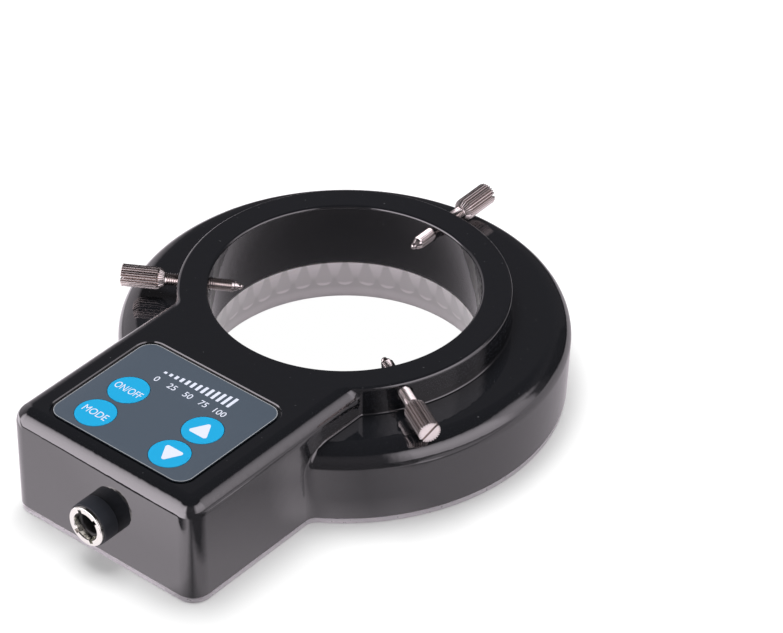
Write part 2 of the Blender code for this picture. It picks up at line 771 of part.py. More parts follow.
def thumb_screw(name, turn, tip_distance):
    """Knurled and slotted thumb screw round the stem of its tip.

    Local +Z points out from the ring and the end of the tip is at local zero.
    """
    head_start = thumb_length - thumb_head_length
    cone_start = head_start - thumb_cone_length
    stem_hole_radius = thumb_tip_stem_radius + running_gap
    stem_hole_end = thumb_nose_length + thumb_tip_stem_length + running_gap
    core_end = thumb_length - thumb_head_length / 2
    profile = [(0, core_end), (thumb_cone_radius, core_end)]
    profile += [(thumb_cone_radius, head_start), (thumb_shaft_radius, cone_start)]
    profile += [(thumb_shaft_radius, thumb_nose_length + thumb_nose_radius / 2)]
    profile += [(thumb_nose_radius, thumb_nose_length), (stem_hole_radius, thumb_nose_length)]
    profile += [(stem_hole_radius, stem_hole_end), (0, stem_hole_end)]
    direction = math.radians(turn)
    at = (tip_distance * math.cos(direction), tip_distance * math.sin(direction), thumb_axis_height)
    screw = turned(name, profile, small_sides, nickel, at, closed=False)
    screw.rotation_euler = outward_turn(turn)
    collar = thumb_nose_length - running_gap
    profile = [(0, collar + thumb_tip_stem_length), (thumb_tip_stem_radius, collar + thumb_tip_stem_length)]
    profile += [(thumb_tip_stem_radius, collar), (thumb_nose_radius, collar)]
    profile += arc((0, thumb_nose_radius), thumb_nose_radius, 0, -90, 3)
    tip_name = name.replace("screw", "tip")
    turned(tip_name, profile, small_sides, nickel, at, closed=False).rotation_euler = screw.rotation_euler

    bm = bmesh.new()
    points = []
    for k in range(2 * thumb_knurl_ridges):
        radius = thumb_head_radius - (k % 2) * thumb_knurl_depth
        angle = math.pi * k / thumb_knurl_ridges
        points.append((radius * math.cos(angle), radius * math.sin(angle)))
    rings = [[bm.verts.new((x, y, z)) for x, y in points] for z in (thumb_length, head_start)]
    bm.faces.new(rings[0])
    bm.faces.new(reversed(rings[1]))
    for i in range(len(points)):
        j = (i + 1) % len(points)
        bm.faces.new((rings[0][i], rings[1][i], rings[1][j], rings[0][j]))
    head = from_bmesh(name + "_knurl", bm, at=at)
    head.rotation_euler = screw.rotation_euler
    outer = thumb_head_radius + thumb_chamfer / 2
    face_radius = thumb_head_radius - thumb_chamfer
    barrel = [(0, thumb_length + hidden_inset), (face_radius, thumb_length + hidden_inset)]
    barrel += [(outer, thumb_length - thumb_chamfer), (outer, head_start + thumb_chamfer)]
    barrel += [(face_radius, head_start - hidden_inset), (0, head_start - hidden_inset)]
    chamfer = turned(name + "_chamfer", barrel, key_sides, at=at, closed=False)
    chamfer.rotation_euler = screw.rotation_euler
    boolean(head, "INTERSECT", chamfer)
    boolean(screw, "UNION", head)
    slot = block(
        name + "_slot", (thumb_slot_width, thumb_head_radius * 3, thumb_slot_depth * 2),
        thumb_length - thumb_slot_depth, at=at,
    )
    slot.rotation_euler = screw.rotation_euler
    boolean(screw, "DIFFERENCE", slot)


def power_socket():
    """Round low-voltage socket: sleeve, liner, centre pin, lock nut and rear block with two lugs."""
    at = (0, 0, socket_height)
    lay = outward_turn(270.0)
    back = socket_end - sleeve_depth
    lip = arc((sleeve_radius - sleeve_lip, socket_end - sleeve_lip), sleeve_lip, 90, 0, 2)
    profile = [(sleeve_bore + sleeve_lip / 2, socket_end)] + lip
    profile += [(sleeve_radius, back), (sleeve_bore, back), (sleeve_bore, socket_end - sleeve_lip / 2)]
    sleeve = turned("socket_sleeve", profile, key_sides, nickel, at)
    sleeve.rotation_euler = lay
    slit_size = (sleeve_bore * 2 + wall, sleeve_slit_width, sleeve_slit_depth * 2)
    slit = block("socket_slit", slit_size, socket_end - sleeve_slit_depth, at=at)
    slit.rotation_euler = lay
    boolean(sleeve, "DIFFERENCE", slit)

    liner_outer = sleeve_bore - seat_gap
    floor = back + wall
    profile = [(liner_bore, socket_end - liner_setback), (liner_outer, socket_end - liner_setback)]
    profile += [(liner_outer, back), (socket_pin_radius + seat_gap, back)]
    profile += [(socket_pin_radius + seat_gap, floor), (liner_bore, floor)]
    turned("socket_liner", profile, key_sides, black_plastic, at).rotation_euler = lay

    tip = socket_end - socket_pin_setback
    profile = [(0, tip), (socket_pin_radius / 2, tip), (socket_pin_radius, tip - socket_pin_radius / 2)]
    profile += [(socket_pin_radius, back), (0, back)]
    turned("socket_pin", profile, small_sides, nickel, at, closed=False).rotation_euler = lay

    nut_front = cavity_front - seat_gap
    nut_back = nut_front - socket_nut_thickness
    nut = cylinder("socket_nut", socket_nut_radius, nut_back, nut_front, nut_sides, nickel, at)
    nut.rotation_euler = lay
    nut_hole = cylinder(
        "socket_nut_hole", sleeve_radius + seat_gap, nut_front - overrun,
        nut_front + overrun, key_sides, at=at,
    )
    nut_hole.rotation_euler = lay
    boolean(nut, "DIFFERENCE", nut_hole)

    block_front = back - seat_gap
    rear_size = (socket_block_width, socket_block_width, socket_block_length)
    rear = block("socket_block", rear_size, block_front - socket_block_length, black_plastic, at)
    rear.rotation_euler = lay
    for name, side in (("socket_lug_plus", 1), ("socket_lug_minus", -1)):
        offset = side * (socket_block_width / 4)
        high = block_front - socket_block_length - seat_gap
        lug_size = (socket_lug_thickness, socket_lug_width, socket_lug_length)
        lug = block(name, lug_size, high - socket_lug_length, copper, (offset, 0, socket_height))
        lug.rotation_euler = lay


def board_parts():
    """Parts on the underside of the control board, seen through the clear cover."""
    low = control_board_underside - seat_gap
    chip_size = (chip_width, chip_length, chip_height)
    block("driver_chip", chip_size, low - chip_height, black_plastic, (-key_side, -key_near_row, 0))
    cylinder("choke_coil", coil_radius, low - coil_height, low, small_sides, copper, (0, -key_far_row, 0))
    cylinder(
        "capacitor", capacitor_radius, low - capacitor_height, low, small_sides, zinc,
        (key_side, -key_far_row, 0),
    )
    connector_size = (connector_width, connector_depth, connector_height)
    block(
        "lamp_connector", connector_size, low - connector_height, white_plastic,
        (0, -cavity_back - overrun, 0),
    )


def wire(name, points, look):
    """Round wire along a smooth run through the given points."""
    curve = bpy.data.curves.new(name, "CURVE")
    curve.dimensions = "3D"
    curve.bevel_depth = wire_radius
    curve.bevel_resolution = 2
    curve.use_fill_caps = True
    fine = []
    steps = 2
    spread = [points[0]] + list(points) + [points[-1]]
    for a, b, c, d in zip(spread, spread[1:], spread[2:], spread[3:]):
        for k in range(steps):
            t = k / steps
            fine.append(0.5 * (2 * b + (c - a) * t + (2 * a - 5 * b + 4 * c - d) * t ** 2
                               + (3 * b - a - 3 * c + d) * t ** 3))
    fine.append(points[-1])
    line = curve.splines.new("POLY")
    line.points.add(len(fine) - 1)
    for point, spot in zip(line.points, fine):
        point.co = (*spot, 1)
    made = bpy.data.objects.new(name, curve)
    parts.objects.link(made)
    made.parent = assembly
    curve.materials.append(look)


def wires():
    """Two wires from the socket to the control board and two on to the lamp board."""
    lug_end = socket_end - sleeve_depth - 2 * seat_gap - socket_block_length - socket_lug_length
    board_low = control_board_underside - wire_gap
    clear = wire_radius + wire_gap
    for name, side, look in (("wire_socket_plus", 1, red_wire), ("wire_socket_minus", -1, black_wire)):
        x = side * socket_block_width / 4
        points = [
            Vector((x, clear - lug_end, socket_height)),
            Vector((x, clear - lug_end + wall, socket_height)),
            Vector((side * socket_block_width / 2, 2 * wall - lug_end, (socket_height + board_low) / 2)),
            Vector((side * socket_block_width * 0.6, 2 * wall - lug_end, board_low - wire_radius)),
        ]
        wire(name, points, look)
    connector_back = -cavity_back - overrun + connector_depth / 2
    connector_middle = board_low - connector_height / 2
    for name, side, look in (("wire_lamps_plus", 1, red_wire), ("wire_lamps_minus", -1, black_wire)):
        x = side * connector_width / 4
        points = [
            Vector((x, connector_back + wire_gap, connector_middle)),
            Vector((x, connector_back + wire_gap + wall / 2, connector_middle)),
            Vector((x, -lamp_row_far, lamp_board_top + clear)),
            Vector((x, wall - lamp_row_far, lamp_board_top + clear)),
        ]
        wire(name, points, look)


def shade():
    """Smooth shading with sharp edges kept."""
    for item in parts.objects:
        if item.type == "MESH":
            item.data.shade_smooth()
            item.data.set_sharp_from_angle(angle=sharp_angle)


housing()
clear_cover()
cover_screws()
lamp_board()
control_board()
keys()
panel_overlay()
for screw_name, screw_turn, screw_tip in thumb_screws:
    thumb_screw(screw_name, screw_turn, screw_tip)
power_socket()
board_parts()
wires()
shade()
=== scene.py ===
"""Ring light for a stereo microscope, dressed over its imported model.

Lengths here are in millimetres. Places are given round the ring's axis, with the
control box towards -Y, and moved into the model's own frame when a mesh is made.
"""
import math

import bmesh
import bpy
from mathutils import Matrix, Vector

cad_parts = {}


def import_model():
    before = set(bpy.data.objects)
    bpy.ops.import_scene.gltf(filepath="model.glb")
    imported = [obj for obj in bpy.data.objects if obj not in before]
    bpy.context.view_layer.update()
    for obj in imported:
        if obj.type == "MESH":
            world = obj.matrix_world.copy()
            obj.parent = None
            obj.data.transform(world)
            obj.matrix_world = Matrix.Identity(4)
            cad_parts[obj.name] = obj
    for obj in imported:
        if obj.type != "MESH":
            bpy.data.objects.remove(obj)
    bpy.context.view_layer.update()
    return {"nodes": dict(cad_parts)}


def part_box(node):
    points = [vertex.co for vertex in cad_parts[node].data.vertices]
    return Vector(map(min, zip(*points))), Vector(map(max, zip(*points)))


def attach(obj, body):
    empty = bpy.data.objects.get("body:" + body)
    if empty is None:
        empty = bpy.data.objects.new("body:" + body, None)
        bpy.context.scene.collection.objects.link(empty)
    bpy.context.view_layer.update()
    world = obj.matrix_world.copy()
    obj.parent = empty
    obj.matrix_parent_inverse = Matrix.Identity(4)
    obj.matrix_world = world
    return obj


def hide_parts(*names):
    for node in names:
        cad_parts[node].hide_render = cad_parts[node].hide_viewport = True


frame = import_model()
nodes = frame["nodes"]
MM = 0.001
ROOT = "light_body"


def box_mm(node):
    """Lowest and highest corner of a node of the model, in millimetres."""
    low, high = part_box(node)
    return low / MM, high / MM


# Sizes read from the model
board_low, board_high = box_mm("lamp_board")
panel_low, panel_high = box_mm("panel_overlay")
sleeve_low, sleeve_high = box_mm("socket_sleeve")
housing_low, housing_high = box_mm("housing")
RING_Y = (board_low.y + board_high.y) / 2
top_z, housing_foot_z, ring_r = housing_high.z, housing_low.z, housing_high.x
panel_half, panel_top = (panel_high.x - panel_low.x) / 2, panel_high.z
panel_near, panel_far = RING_Y - panel_low.y, RING_Y - panel_high.y
socket_z, socket_end = (sleeve_low.z + sleeve_high.z) / 2, RING_Y - sleeve_low.y
cover_screws = []
for number in range(1, 6):
    low_corner, high_corner = box_mm("cover_screw_%d" % number)
    cover_screws.append(((low_corner.x + high_corner.x) / 2, (low_corner.y + high_corner.y) / 2 - RING_Y))

# Sizes that the model was built with
collar_height, bore_depth, panel_collar_gap = 7.3, 15.7, 5.2
panel_side_margin, panel_front_margin, panel_corner, recess_gap = 7.2, 4.85, 3.4, 0.75
shoulder_z, bore_foot_z = top_z - collar_height, top_z - bore_depth
bore_r, collar_r, ring_draft = 30.5, panel_far - panel_collar_gap, 0.6
shoulder_round, collar_round, bore_round, collar_foot = 4.9, 0.8, 0.7, 0.5
box_half, box_reach = panel_half + panel_side_margin, panel_near + panel_front_margin
box_corner, box_edge = 4.5, 4.0
flank_foot, collar_blend, ring_blend = 0.6, 1.8, 3.0
wall, bore_wall, cover_t, cover_inset = 2.2, 2.1, 1.4, 0.2
lamp_board_t, lamp_r, lamps_per_row = 1.6, 2.4, 40
lamp_board_z, lamp_tip_z = board_high.z - lamp_board_t, board_low.z
lamp_rows = ((36.0, 0.0), (41.4, 0.5))
guide_flare, guide_wall, seat_gap = 2.0, 1.0, 0.3
seat_r = bore_r + bore_wall + seat_gap
barrel_r, barrel_reach, sleeve_depth = 5.1, 4.0, 13.0
sleeve_r, sleeve_bore_r = 4.75, 3.2
boss_r, pilot_r = 1.9, 1.15
screw_axis_z, screw_length, head_length = top_z - 3.0, 27.6, 8.8
head_r, shaft_r, stem_r, thread_pitch = 2.55, 1.5, 0.5, 0.5
# name, direction in degrees, distance of the tip from the ring's axis, turn of the slot
screws = (
    ("left", 211.0, 23.0, 20.0),
    ("back", 91.0, 23.9, -12.0),
    ("right", 331.0, 24.2, 44.5),
)
keys = ("power", "mode", "up", "down")


# Materials

class Value:
    """A node's output that takes part in plain arithmetic."""

    def __init__(self, tree, output):
        self.tree, self.output = tree, output

    def math(self, operation, *values):
        """Result of a math node; each value is a number or another Value."""
        made = self.tree.nodes.new("ShaderNodeMath")
        made.operation = operation
        for place, value in zip(made.inputs, values):
            if isinstance(value, Value):
                self.tree.links.new(value.output, place)
            else:
                place.default_value = value
        return Value(self.tree, made.outputs[0])

    def __add__(self, other):
        return self.math("ADD", self, other)

    def __sub__(self, other):
        return self.math("SUBTRACT", self, other)

    def __rsub__(self, other):
        return self.math("SUBTRACT", other, self)

    def __mul__(self, other):
        return self.math("MULTIPLY", self, other)

    def __truediv__(self, other):
        return self.math("DIVIDE", self, other)

    def at_most(self, other):
        return self.math("MINIMUM", self, other)

    def at_least(self, other):
        return self.math("MAXIMUM", self, other)

    def curve(self, low, high, *stops):
        """Piecewise straight function between low and high, with results up to TOP."""
        share = (self - low) / (high - low)
        ramp = self.tree.nodes.new("ShaderNodeValToRGB")
        elements = ramp.color_ramp.elements
        while len(elements) < len(stops):
            elements.new(0.5)
        for element, (position, value) in zip(elements, stops):
            element.position = (position - low) / (high - low)
            element.color = (value / TOP, value / TOP, value / TOP, 1.0)
        self.tree.links.new(share.output, ramp.inputs["Fac"])
        return Value(self.tree, ramp.outputs["Color"]) * TOP


# Highest result of a curve, and degrees in a radian
TOP = 4.0
DEGREES = 57.29578


def length(x, y):
    """Length of a flat vector."""
    square = x * x + y * y
    return square.math("SQRT", square)


def bearing(x, y):
    """Angle from -Y towards +X, in degrees."""
    return x.math("ARCTAN2", x, y * -1.0) * DEGREES


class Look:
    """A procedural material that is put together node by node."""

    def __init__(self, name, colour, roughness, metallic=0.0, **more):
        self.material = bpy.data.materials.new(name)
        self.material.use_nodes = True
        self.tree = self.material.node_tree
        self.shader = self.tree.nodes["Principled BSDF"]
        more.update(Base_Color=(*colour, 1.0), Roughness=roughness, Metallic=metallic)
        for key, value in more.items():
            self.shader.inputs[key.replace("_", " ")].default_value = value

    def node(self, kind, **values):
        made = self.tree.nodes.new(kind)
        for key, value in values.items():
            if hasattr(made, key):
                setattr(made, key, value)
            else:
                made.inputs[key.replace("_", " ")].default_value = value
        return made

    def link(self, source, target):
        self.tree.links.new(source, target)

    def place(self):
        """A surface point's place in millimetres, from the ring's axis and the floor."""
        coordinates = self.node("ShaderNodeTexCoord")
        split = self.node("ShaderNodeSeparateXYZ")
        self.link(coordinates.outputs["Object"], split.inputs[0])
        x, y, z = (Value(self.tree, split.outputs[axis]) * (1 / MM) for axis in "XYZ")
        return x, y - RING_Y, z

    def noise(self, scale, detail=2.0, roughness=0.5, stretch=None):
        """Noise in object space, scale in features per metre."""
        place = self.node("ShaderNodeTexCoord")
        made = self.node("ShaderNodeTexNoise", Scale=scale, Detail=detail, Roughness=roughness)
        if stretch is None:
            self.link(place.outputs["Object"], made.inputs["Vector"])
        else:
            turn = self.node("ShaderNodeMapping", Scale=stretch)
            self.link(place.outputs["Object"], turn.inputs["Vector"])
            self.link(turn.outputs["Vector"], made.inputs["Vector"])
        return made.outputs["Fac"]

    def colours(self, source, *stops):
        """The base colour follows the source through the stops."""
        made = self.node("ShaderNodeValToRGB")
        for element, (position, colour) in zip(made.color_ramp.elements, stops):
            element.position = position
            element.color = (*colour, 1.0)
        self.link(source, made.inputs["Fac"])
        self.link(made.outputs["Color"], self.shader.inputs["Base Color"])

    def bump(self, source, strength, distance, target="Normal"):
        made = self.node("ShaderNodeBump", Strength=strength, Distance=distance * MM)
        self.link(source, made.inputs["Height"])
        self.link(made.outputs["Normal"], self.shader.inputs[target])

    def vary(self, target, source, low, high):
        """The target follows the source between two values."""
        made = self.node("ShaderNodeMapRange")
        made.inputs["To Min"].default_value = low
        made.inputs["To Max"].default_value = high
        self.link(source, made.inputs["Value"])
        self.link(made.outputs["Result"], self.shader.inputs[target])


# Gloss paint: a clear coat with a slight orange peel over a black ground with fine dust
PAINT = (0.0088, 0.0094, 0.0115)
paint = Look("black_gloss_paint", PAINT, 0.5, Specular_IOR_Level=0.0, Coat_Weight=1.0,
             Coat_Roughness=0.05, Coat_IOR=2.0)
peel = paint.noise(520.0, 1.0)
paint.bump(peel, 0.3, 0.05)
paint.bump(peel, 0.4, 0.06, "Coat Normal")
paint.colours(paint.noise(1500.0, 1.0), (0.775, PAINT), (0.81, (0.07, 0.07, 0.075)))
paint.vary("Coat Roughness", paint.noise(70.0), 0.035, 0.07)

nickel = Look("bright_nickel", (0.69, 0.64, 0.62), 0.16, 1.0)
nickel.vary("Roughness", nickel.noise(1800.0, 3.0), 0.12, 0.24)
nickel.bump(nickel.noise(5200.0), 0.12, 0.02)

plated = Look("plated_contact", (0.70, 0.70, 0.65), 0.16, 1.0)
plated.vary("Roughness", plated.noise(1800.0, 3.0), 0.12, 0.24)

film = Look("slate_film", (0.066, 0.084, 0.110), 0.42, Specular_IOR_Level=0.35)
film.bump(film.noise(9000.0), 0.15, 0.01)
film.vary("Roughness", film.noise(300.0), 0.36, 0.5)

film_edge = Look("film_edge", (0.36, 0.37, 0.39), 0.5)
film_edge.vary("Roughness", film_edge.noise(2000.0), 0.4, 0.6)

key_look = Look("sky_blue_key", (0.010, 0.335, 0.62), 0.4, Specular_IOR_Level=0.3)
key_look.bump(key_look.noise(8000.0), 0.12, 0.01)
key_look.vary("Roughness", key_look.noise(300.0), 0.34, 0.48)

print_look = Look("pale_print", (0.66, 0.69, 0.80), 0.45)
print_look.vary("Roughness", print_look.noise(3000.0), 0.4, 0.55)

clear = Look("clear_acrylic", (0.60, 0.565, 0.60), 0.3, IOR=1.49, Transmission_Weight=0.45)
clear.vary("Roughness", clear.noise(1400.0), 0.2, 0.45)
clear.bump(clear.noise(1300.0), 0.5, 0.06)

FROST = (0.57, 0.515, 0.547)
frost = Look("frosted_acrylic", FROST, 0.55, Sheen_Weight=0.9, Sheen_Roughness=0.6)
frost.bump(frost.noise(7000.0), 0.3, 0.01)
frost.vary("Roughness", frost.noise(500.0), 0.5, 0.68)

lens = Look("lamp_lens", (0.80, 0.79, 0.77), 0.12, Transmission_Weight=0.35, IOR=1.5)
lens.vary("Roughness", lens.noise(500.0), 0.08, 0.16)

phosphor = Look("lamp_phosphor", (0.86, 0.62, 0.05), 0.6)
phosphor.vary("Roughness", phosphor.noise(4000.0), 0.5, 0.7)

board_white = Look("white_board", (0.72, 0.72, 0.70), 0.35)
board_white.colours(board_white.noise(260.0, 0.0), (0.47, (0.72, 0.72, 0.70)), (0.5, (0.62, 0.63, 0.61)))

board_green = Look("green_board", (0.012, 0.13, 0.055), 0.35)
board_green.colours(board_green.noise(420.0, 0.0), (0.48, (0.010, 0.115, 0.05)), (0.5, (0.02, 0.19, 0.085)))
board_green.bump(board_green.noise(420.0, 0.0), 0.2, 0.03)

black_plastic = Look("black_moulding", (0.014, 0.014, 0.015), 0.45)
black_plastic.bump(black_plastic.noise(5000.0), 0.2, 0.01)

barrel_black = Look("dull_black_barrel", (0.020, 0.022, 0.028), 0.5, Specular_IOR_Level=0.3)
barrel_black.vary("Roughness", barrel_black.noise(700.0), 0.42, 0.6)

white_plastic = Look("ivory_moulding", (0.74, 0.70, 0.60), 0.42)
white_plastic.bump(white_plastic.noise(3000.0), 0.15, 0.01)

zinc = Look("zinc_plate", (0.58, 0.58, 0.56), 0.3, 1.0)
zinc.vary("Roughness", zinc.noise(1500.0, 3.0), 0.2, 0.42)
zinc.bump(zinc.noise(4000.0), 0.1, 0.01)

copper = Look("copper_wire", (0.72, 0.33, 0.15), 0.35, 1.0)
copper.bump(copper.noise(1.0, 0.0, 0.5, (1.0, 1.0, 2600.0)), 0.8, 0.1)

red_wire = Look("red_insulation", (0.50, 0.015, 0.015), 0.4)
black_wire = Look("black_insulation", (0.012, 0.012, 0.012), 0.4)
for insulation in (red_wire, black_wire):
    insulation.vary("Roughness", insulation.noise(900.0), 0.32, 0.5)


def painted_lamp_shade_and_highlights():
    """Lamps seen through the frosted wall, painted into its colour: painted shade on the domes and between
    them, and a painted highlight on each tip.
    """
    x, y, z = frost.place()
    # tones of the painted shade on the domes and of the painted highlight on the lamp tips
    dome_shade_tone, tip_highlight_tone, waist_slope, unevenness = 0.84, 0.38, 0.27, 1.1
    uneven = (Value(frost.tree, frost.noise(160.0)) - 0.5) * unevenness
    turn = x.math("ARCTAN2", y, x) * (lamps_per_row / (2 * math.pi))
    step = 2 * math.pi * (bore_r + guide_wall) / lamps_per_row
    side = turn.math("FRACT", turn)
    side = side.math("ABSOLUTE", (side - 0.5) * step)
    dome_middle = lamp_tip_z + lamp_r - 0.9
    up = (z - dome_middle) + uneven
    reach = length(side, up.at_most(0.0))
    waist = reach + up.at_least(0.0) * waist_slope
    # painted shade over each dome
    dome = waist.curve(0.0, 4.0, (1.75, 1.0), (2.25, 0.0))
    # painted highlight on each lamp's tip
    tip = reach.curve(0.0, 4.0, (0.95, 0.0), (1.45, 1.0), (1.95, 1.0), (2.25, 0.0))
    tip = tip * up.curve(-4.0, 4.0, (-1.5, 1.0), (-0.9, 0.0))
    # painted shade between the domes, darkest about their middle height and lighter below and above
    between = up.curve(-6.0, 8.0, (-5.0, 1.12), (-3.4, 0.98), (-2.4, 0.8), (-0.2, 0.72),
                       (1.5, 0.98), (4.5, 1.2))
    # the frosted wall's colour carries this painted light and shade
    tone = between * (1.0 - dome) + dome * dome_shade_tone + tip * tip_highlight_tone
    shade = frost.node("ShaderNodeVectorMath", operation="SCALE")
    shade.inputs[0].default_value = FROST
    frost.link(tone.output, shade.inputs["Scale"])
    frost.link(shade.outputs[0], frost.shader.inputs["Base Color"])


painted_lamp_shade_and_highlights()


# Building tools

def finish_mesh(made, look, smooth=35.0, body=ROOT, replaces=()):
    """Material, shading and body of a piece, now brought from millimetres to metres; the model's parts it
    replaces are hidden.
    """
    mesh = made.data
    mesh.transform(Matrix.Scale(MM, 4))
    mesh.materials.clear()
    mesh.materials.append(look.material)
    mesh.shade_smooth()
    mesh.set_sharp_from_angle(angle=math.radians(smooth))
    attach(made, body)
    if replaces:
        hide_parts(*replaces)


def place_matrix(at=(0.0, 0.0, 0.0), direction=None):
    """From a piece's own place to the model's frame; direction lays local +Z outwards."""
    turn = Matrix.Identity(4)
    if direction is not None:
        turn = Matrix.Rotation(math.radians(direction), 4, "Z") @ Matrix.Rotation(math.pi / 2, 4, "Y")
    return Matrix.Translation((at[0], at[1] + RING_Y, at[2])) @ turn


PLAIN = place_matrix()


def new_object(name, bm, matrix):
    """Object of a bmesh in millimetres, moved by the matrix."""
    bmesh.ops.recalc_face_normals(bm, faces=bm.faces)
    bm.transform(matrix)
    mesh = bpy.data.meshes.new(name)
    bm.to_mesh(mesh)
    bm.free()
    made = bpy.data.objects.new(name, mesh)
    bpy.context.scene.collection.objects.link(made)
    return made


def skin(bm, rings, closed=False, capped=False):
    """Faces between successive rings of vertices; a ring of one vertex is a pole."""
    pairs = list(zip(rings, rings[1:]))
    if closed:
        pairs.append((rings[-1], rings[0]))
    for a, b in pairs:
        count = max(len(a), len(b))
        for i in range(count):
            j = (i + 1) % count
            corners = [a[i % len(a)], b[i % len(b)], b[j % len(b)], a[j % len(a)]]
            face = [v for k, v in enumerate(corners) if v not in corners[:k]]
            if len(face) > 2:
                bm.faces.new(face)
    if capped:
        bm.faces.new(rings[0])
        bm.faces.new(list(reversed(rings[-1])))


def lathe(bm, profile, sides, closed=False, reshape=None):
    """Adds a turned form; profile points are (radius, height), and reshape moves a point."""
    rings = []
    for radius, height in profile:
        if radius == 0:
            rings.append([bm.verts.new((0, 0, height))])
            continue
        ring = []
        for k in range(sides):
            angle = 2 * math.pi * k / sides
            r = radius if reshape is None else reshape(radius, height, angle)
            ring.append(bm.verts.new((r * math.cos(angle), r * math.sin(angle), height)))
        rings.append(ring)
    skin(bm, rings, closed)


def turned(name, profile, sides, matrix, closed=False, reshape=None):
    """Object of one turned form."""
    bm = bmesh.new()
    lathe(bm, profile, sides, closed, reshape)
    return new_object(name, bm, matrix)


def loft(name, levels):
    """Closed solid through outlines of equal count."""
    bm = bmesh.new()
    skin(bm, [[bm.verts.new(point) for point in level] for level in levels], capped=True)
    return new_object(name, bm, PLAIN)


def cutter_box(name, size, middle, matrix, turn=0.0):
    """Plain block that only ever cuts, turned about its own frame's Z by degrees."""
    bm = bmesh.new()
    place = Matrix.Translation(middle) @ Matrix.Diagonal((*size, 1))
    bmesh.ops.create_cube(bm, size=1, matrix=Matrix.Rotation(math.radians(turn), 4, "Z") @ place)
    return new_object(name, bm, matrix)


def carve(target, operation, tools):
    """Applies boolean steps at once and removes their tools."""
    for tool in tools:
        made = target.modifiers.new(tool.name, "BOOLEAN")
        made.operation = operation
        made.solver = "EXACT"
        made.object = tool
    graph = bpy.context.evaluated_depsgraph_get()
    graph.update()
    mesh = bpy.data.meshes.new_from_object(target.evaluated_get(graph))
    target.modifiers.clear()
    target.data = mesh
    for tool in tools:
        bpy.data.objects.remove(tool, do_unlink=True)


def arc(centre, radius, start, end, steps):
    """Points of an arc, angles in degrees."""
    angles = [math.radians(start + (end - start) * k / steps) for k in range(steps + 1)]
    return [(centre[0] + radius * math.cos(a), centre[1] + radius * math.sin(a)) for a in angles]


def rounded_rectangle(half_x, near, far, corner, inset, steps):
    """Outline in front of the ring's axis, drawn in by the inset."""
    points = []
    for turn, x, y in ((0, half_x - corner, -far - corner), (90, corner - half_x, -far - corner),
                       (180, corner - half_x, corner - near), (270, half_x - corner, corner - near)):
        points += arc((x, y), corner - inset, turn, turn + 90, steps)
    return points


# Housing

# Steps along the plan outline and round an edge
CORNER, FLANK, BLEND, HALF = 12, 14, 8, 96
ROUND, SIDES, FILLET = 10, 240, 7


def blend_centre(radius, half, blend):
    """Centre of the arc that joins a flank to the ring or the collar."""
    x = half + blend
    return x, -math.sqrt((radius + blend) ** 2 - x ** 2)


def half_outline(radius, half, reach, corner, blend, flank_start=None):
    """Right half of a plan outline as (x, y, share of the box)."""
    centre = blend_centre(radius, half, blend)
    turn_out = math.degrees(math.atan2(-centre[1], -centre[0]))
    turn_in = math.degrees(math.atan2(centre[1], centre[0]))
    points = [(0, -reach, 1.0)]
    points += [(x, y, 1.0) for x, y in arc((half - corner, corner - reach), corner, -90, 0, CORNER)]
    start = corner - reach if flank_start is None else flank_start
    if flank_start is not None:
        points += [(half, corner - reach + (start - corner + reach) * k / 3, 1.0) for k in (1, 2)]
    steps = range(0 if flank_start is not None else 1, FLANK)
    points += [(half, start + (centre[1] - start) * k / FLANK, 1.0) for k in steps]
    points += [(x, y, 1 - k / BLEND) for k, (x, y) in enumerate(arc(centre, blend, 180, turn_out, BLEND))]
    points += [(x, y, 0.0) for x, y in arc((0, 0), radius, turn_in, 90, HALF)[1:]]
    return points


def whole(half):
    """Right half of an outline with its mirror image."""
    return list(half) + [(-p[0], *p[1:]) for p in reversed(half[1:-1])]


def flat(outline, height):
    """Outline as a level for loft."""
    return [(x, y, height) for x, y, _ in outline]


def ring_surface(x, y):
    """Height of the ring's rounded shoulder in plan."""
    radius = math.hypot(x, y)
    depth = min(max(radius - (ring_r - shoulder_round), 0.0), shoulder_round)
    return shoulder_z - shoulder_round + math.sqrt(max(shoulder_round ** 2 - depth ** 2, 0.0))


def foot_height(x, y, nx, ny, radius):
    """Height of the centre of a ball of that radius that rolls along a wall and the shoulder."""
    best, steps = 0.0, 20
    for k in range(steps + 1):
        across = 2 * radius * k / steps
        lift = math.sqrt(max(radius ** 2 - (across - radius) ** 2, 0.0))
        best = max(best, ring_surface(x + nx * across, y + ny * across) + lift)
    return best


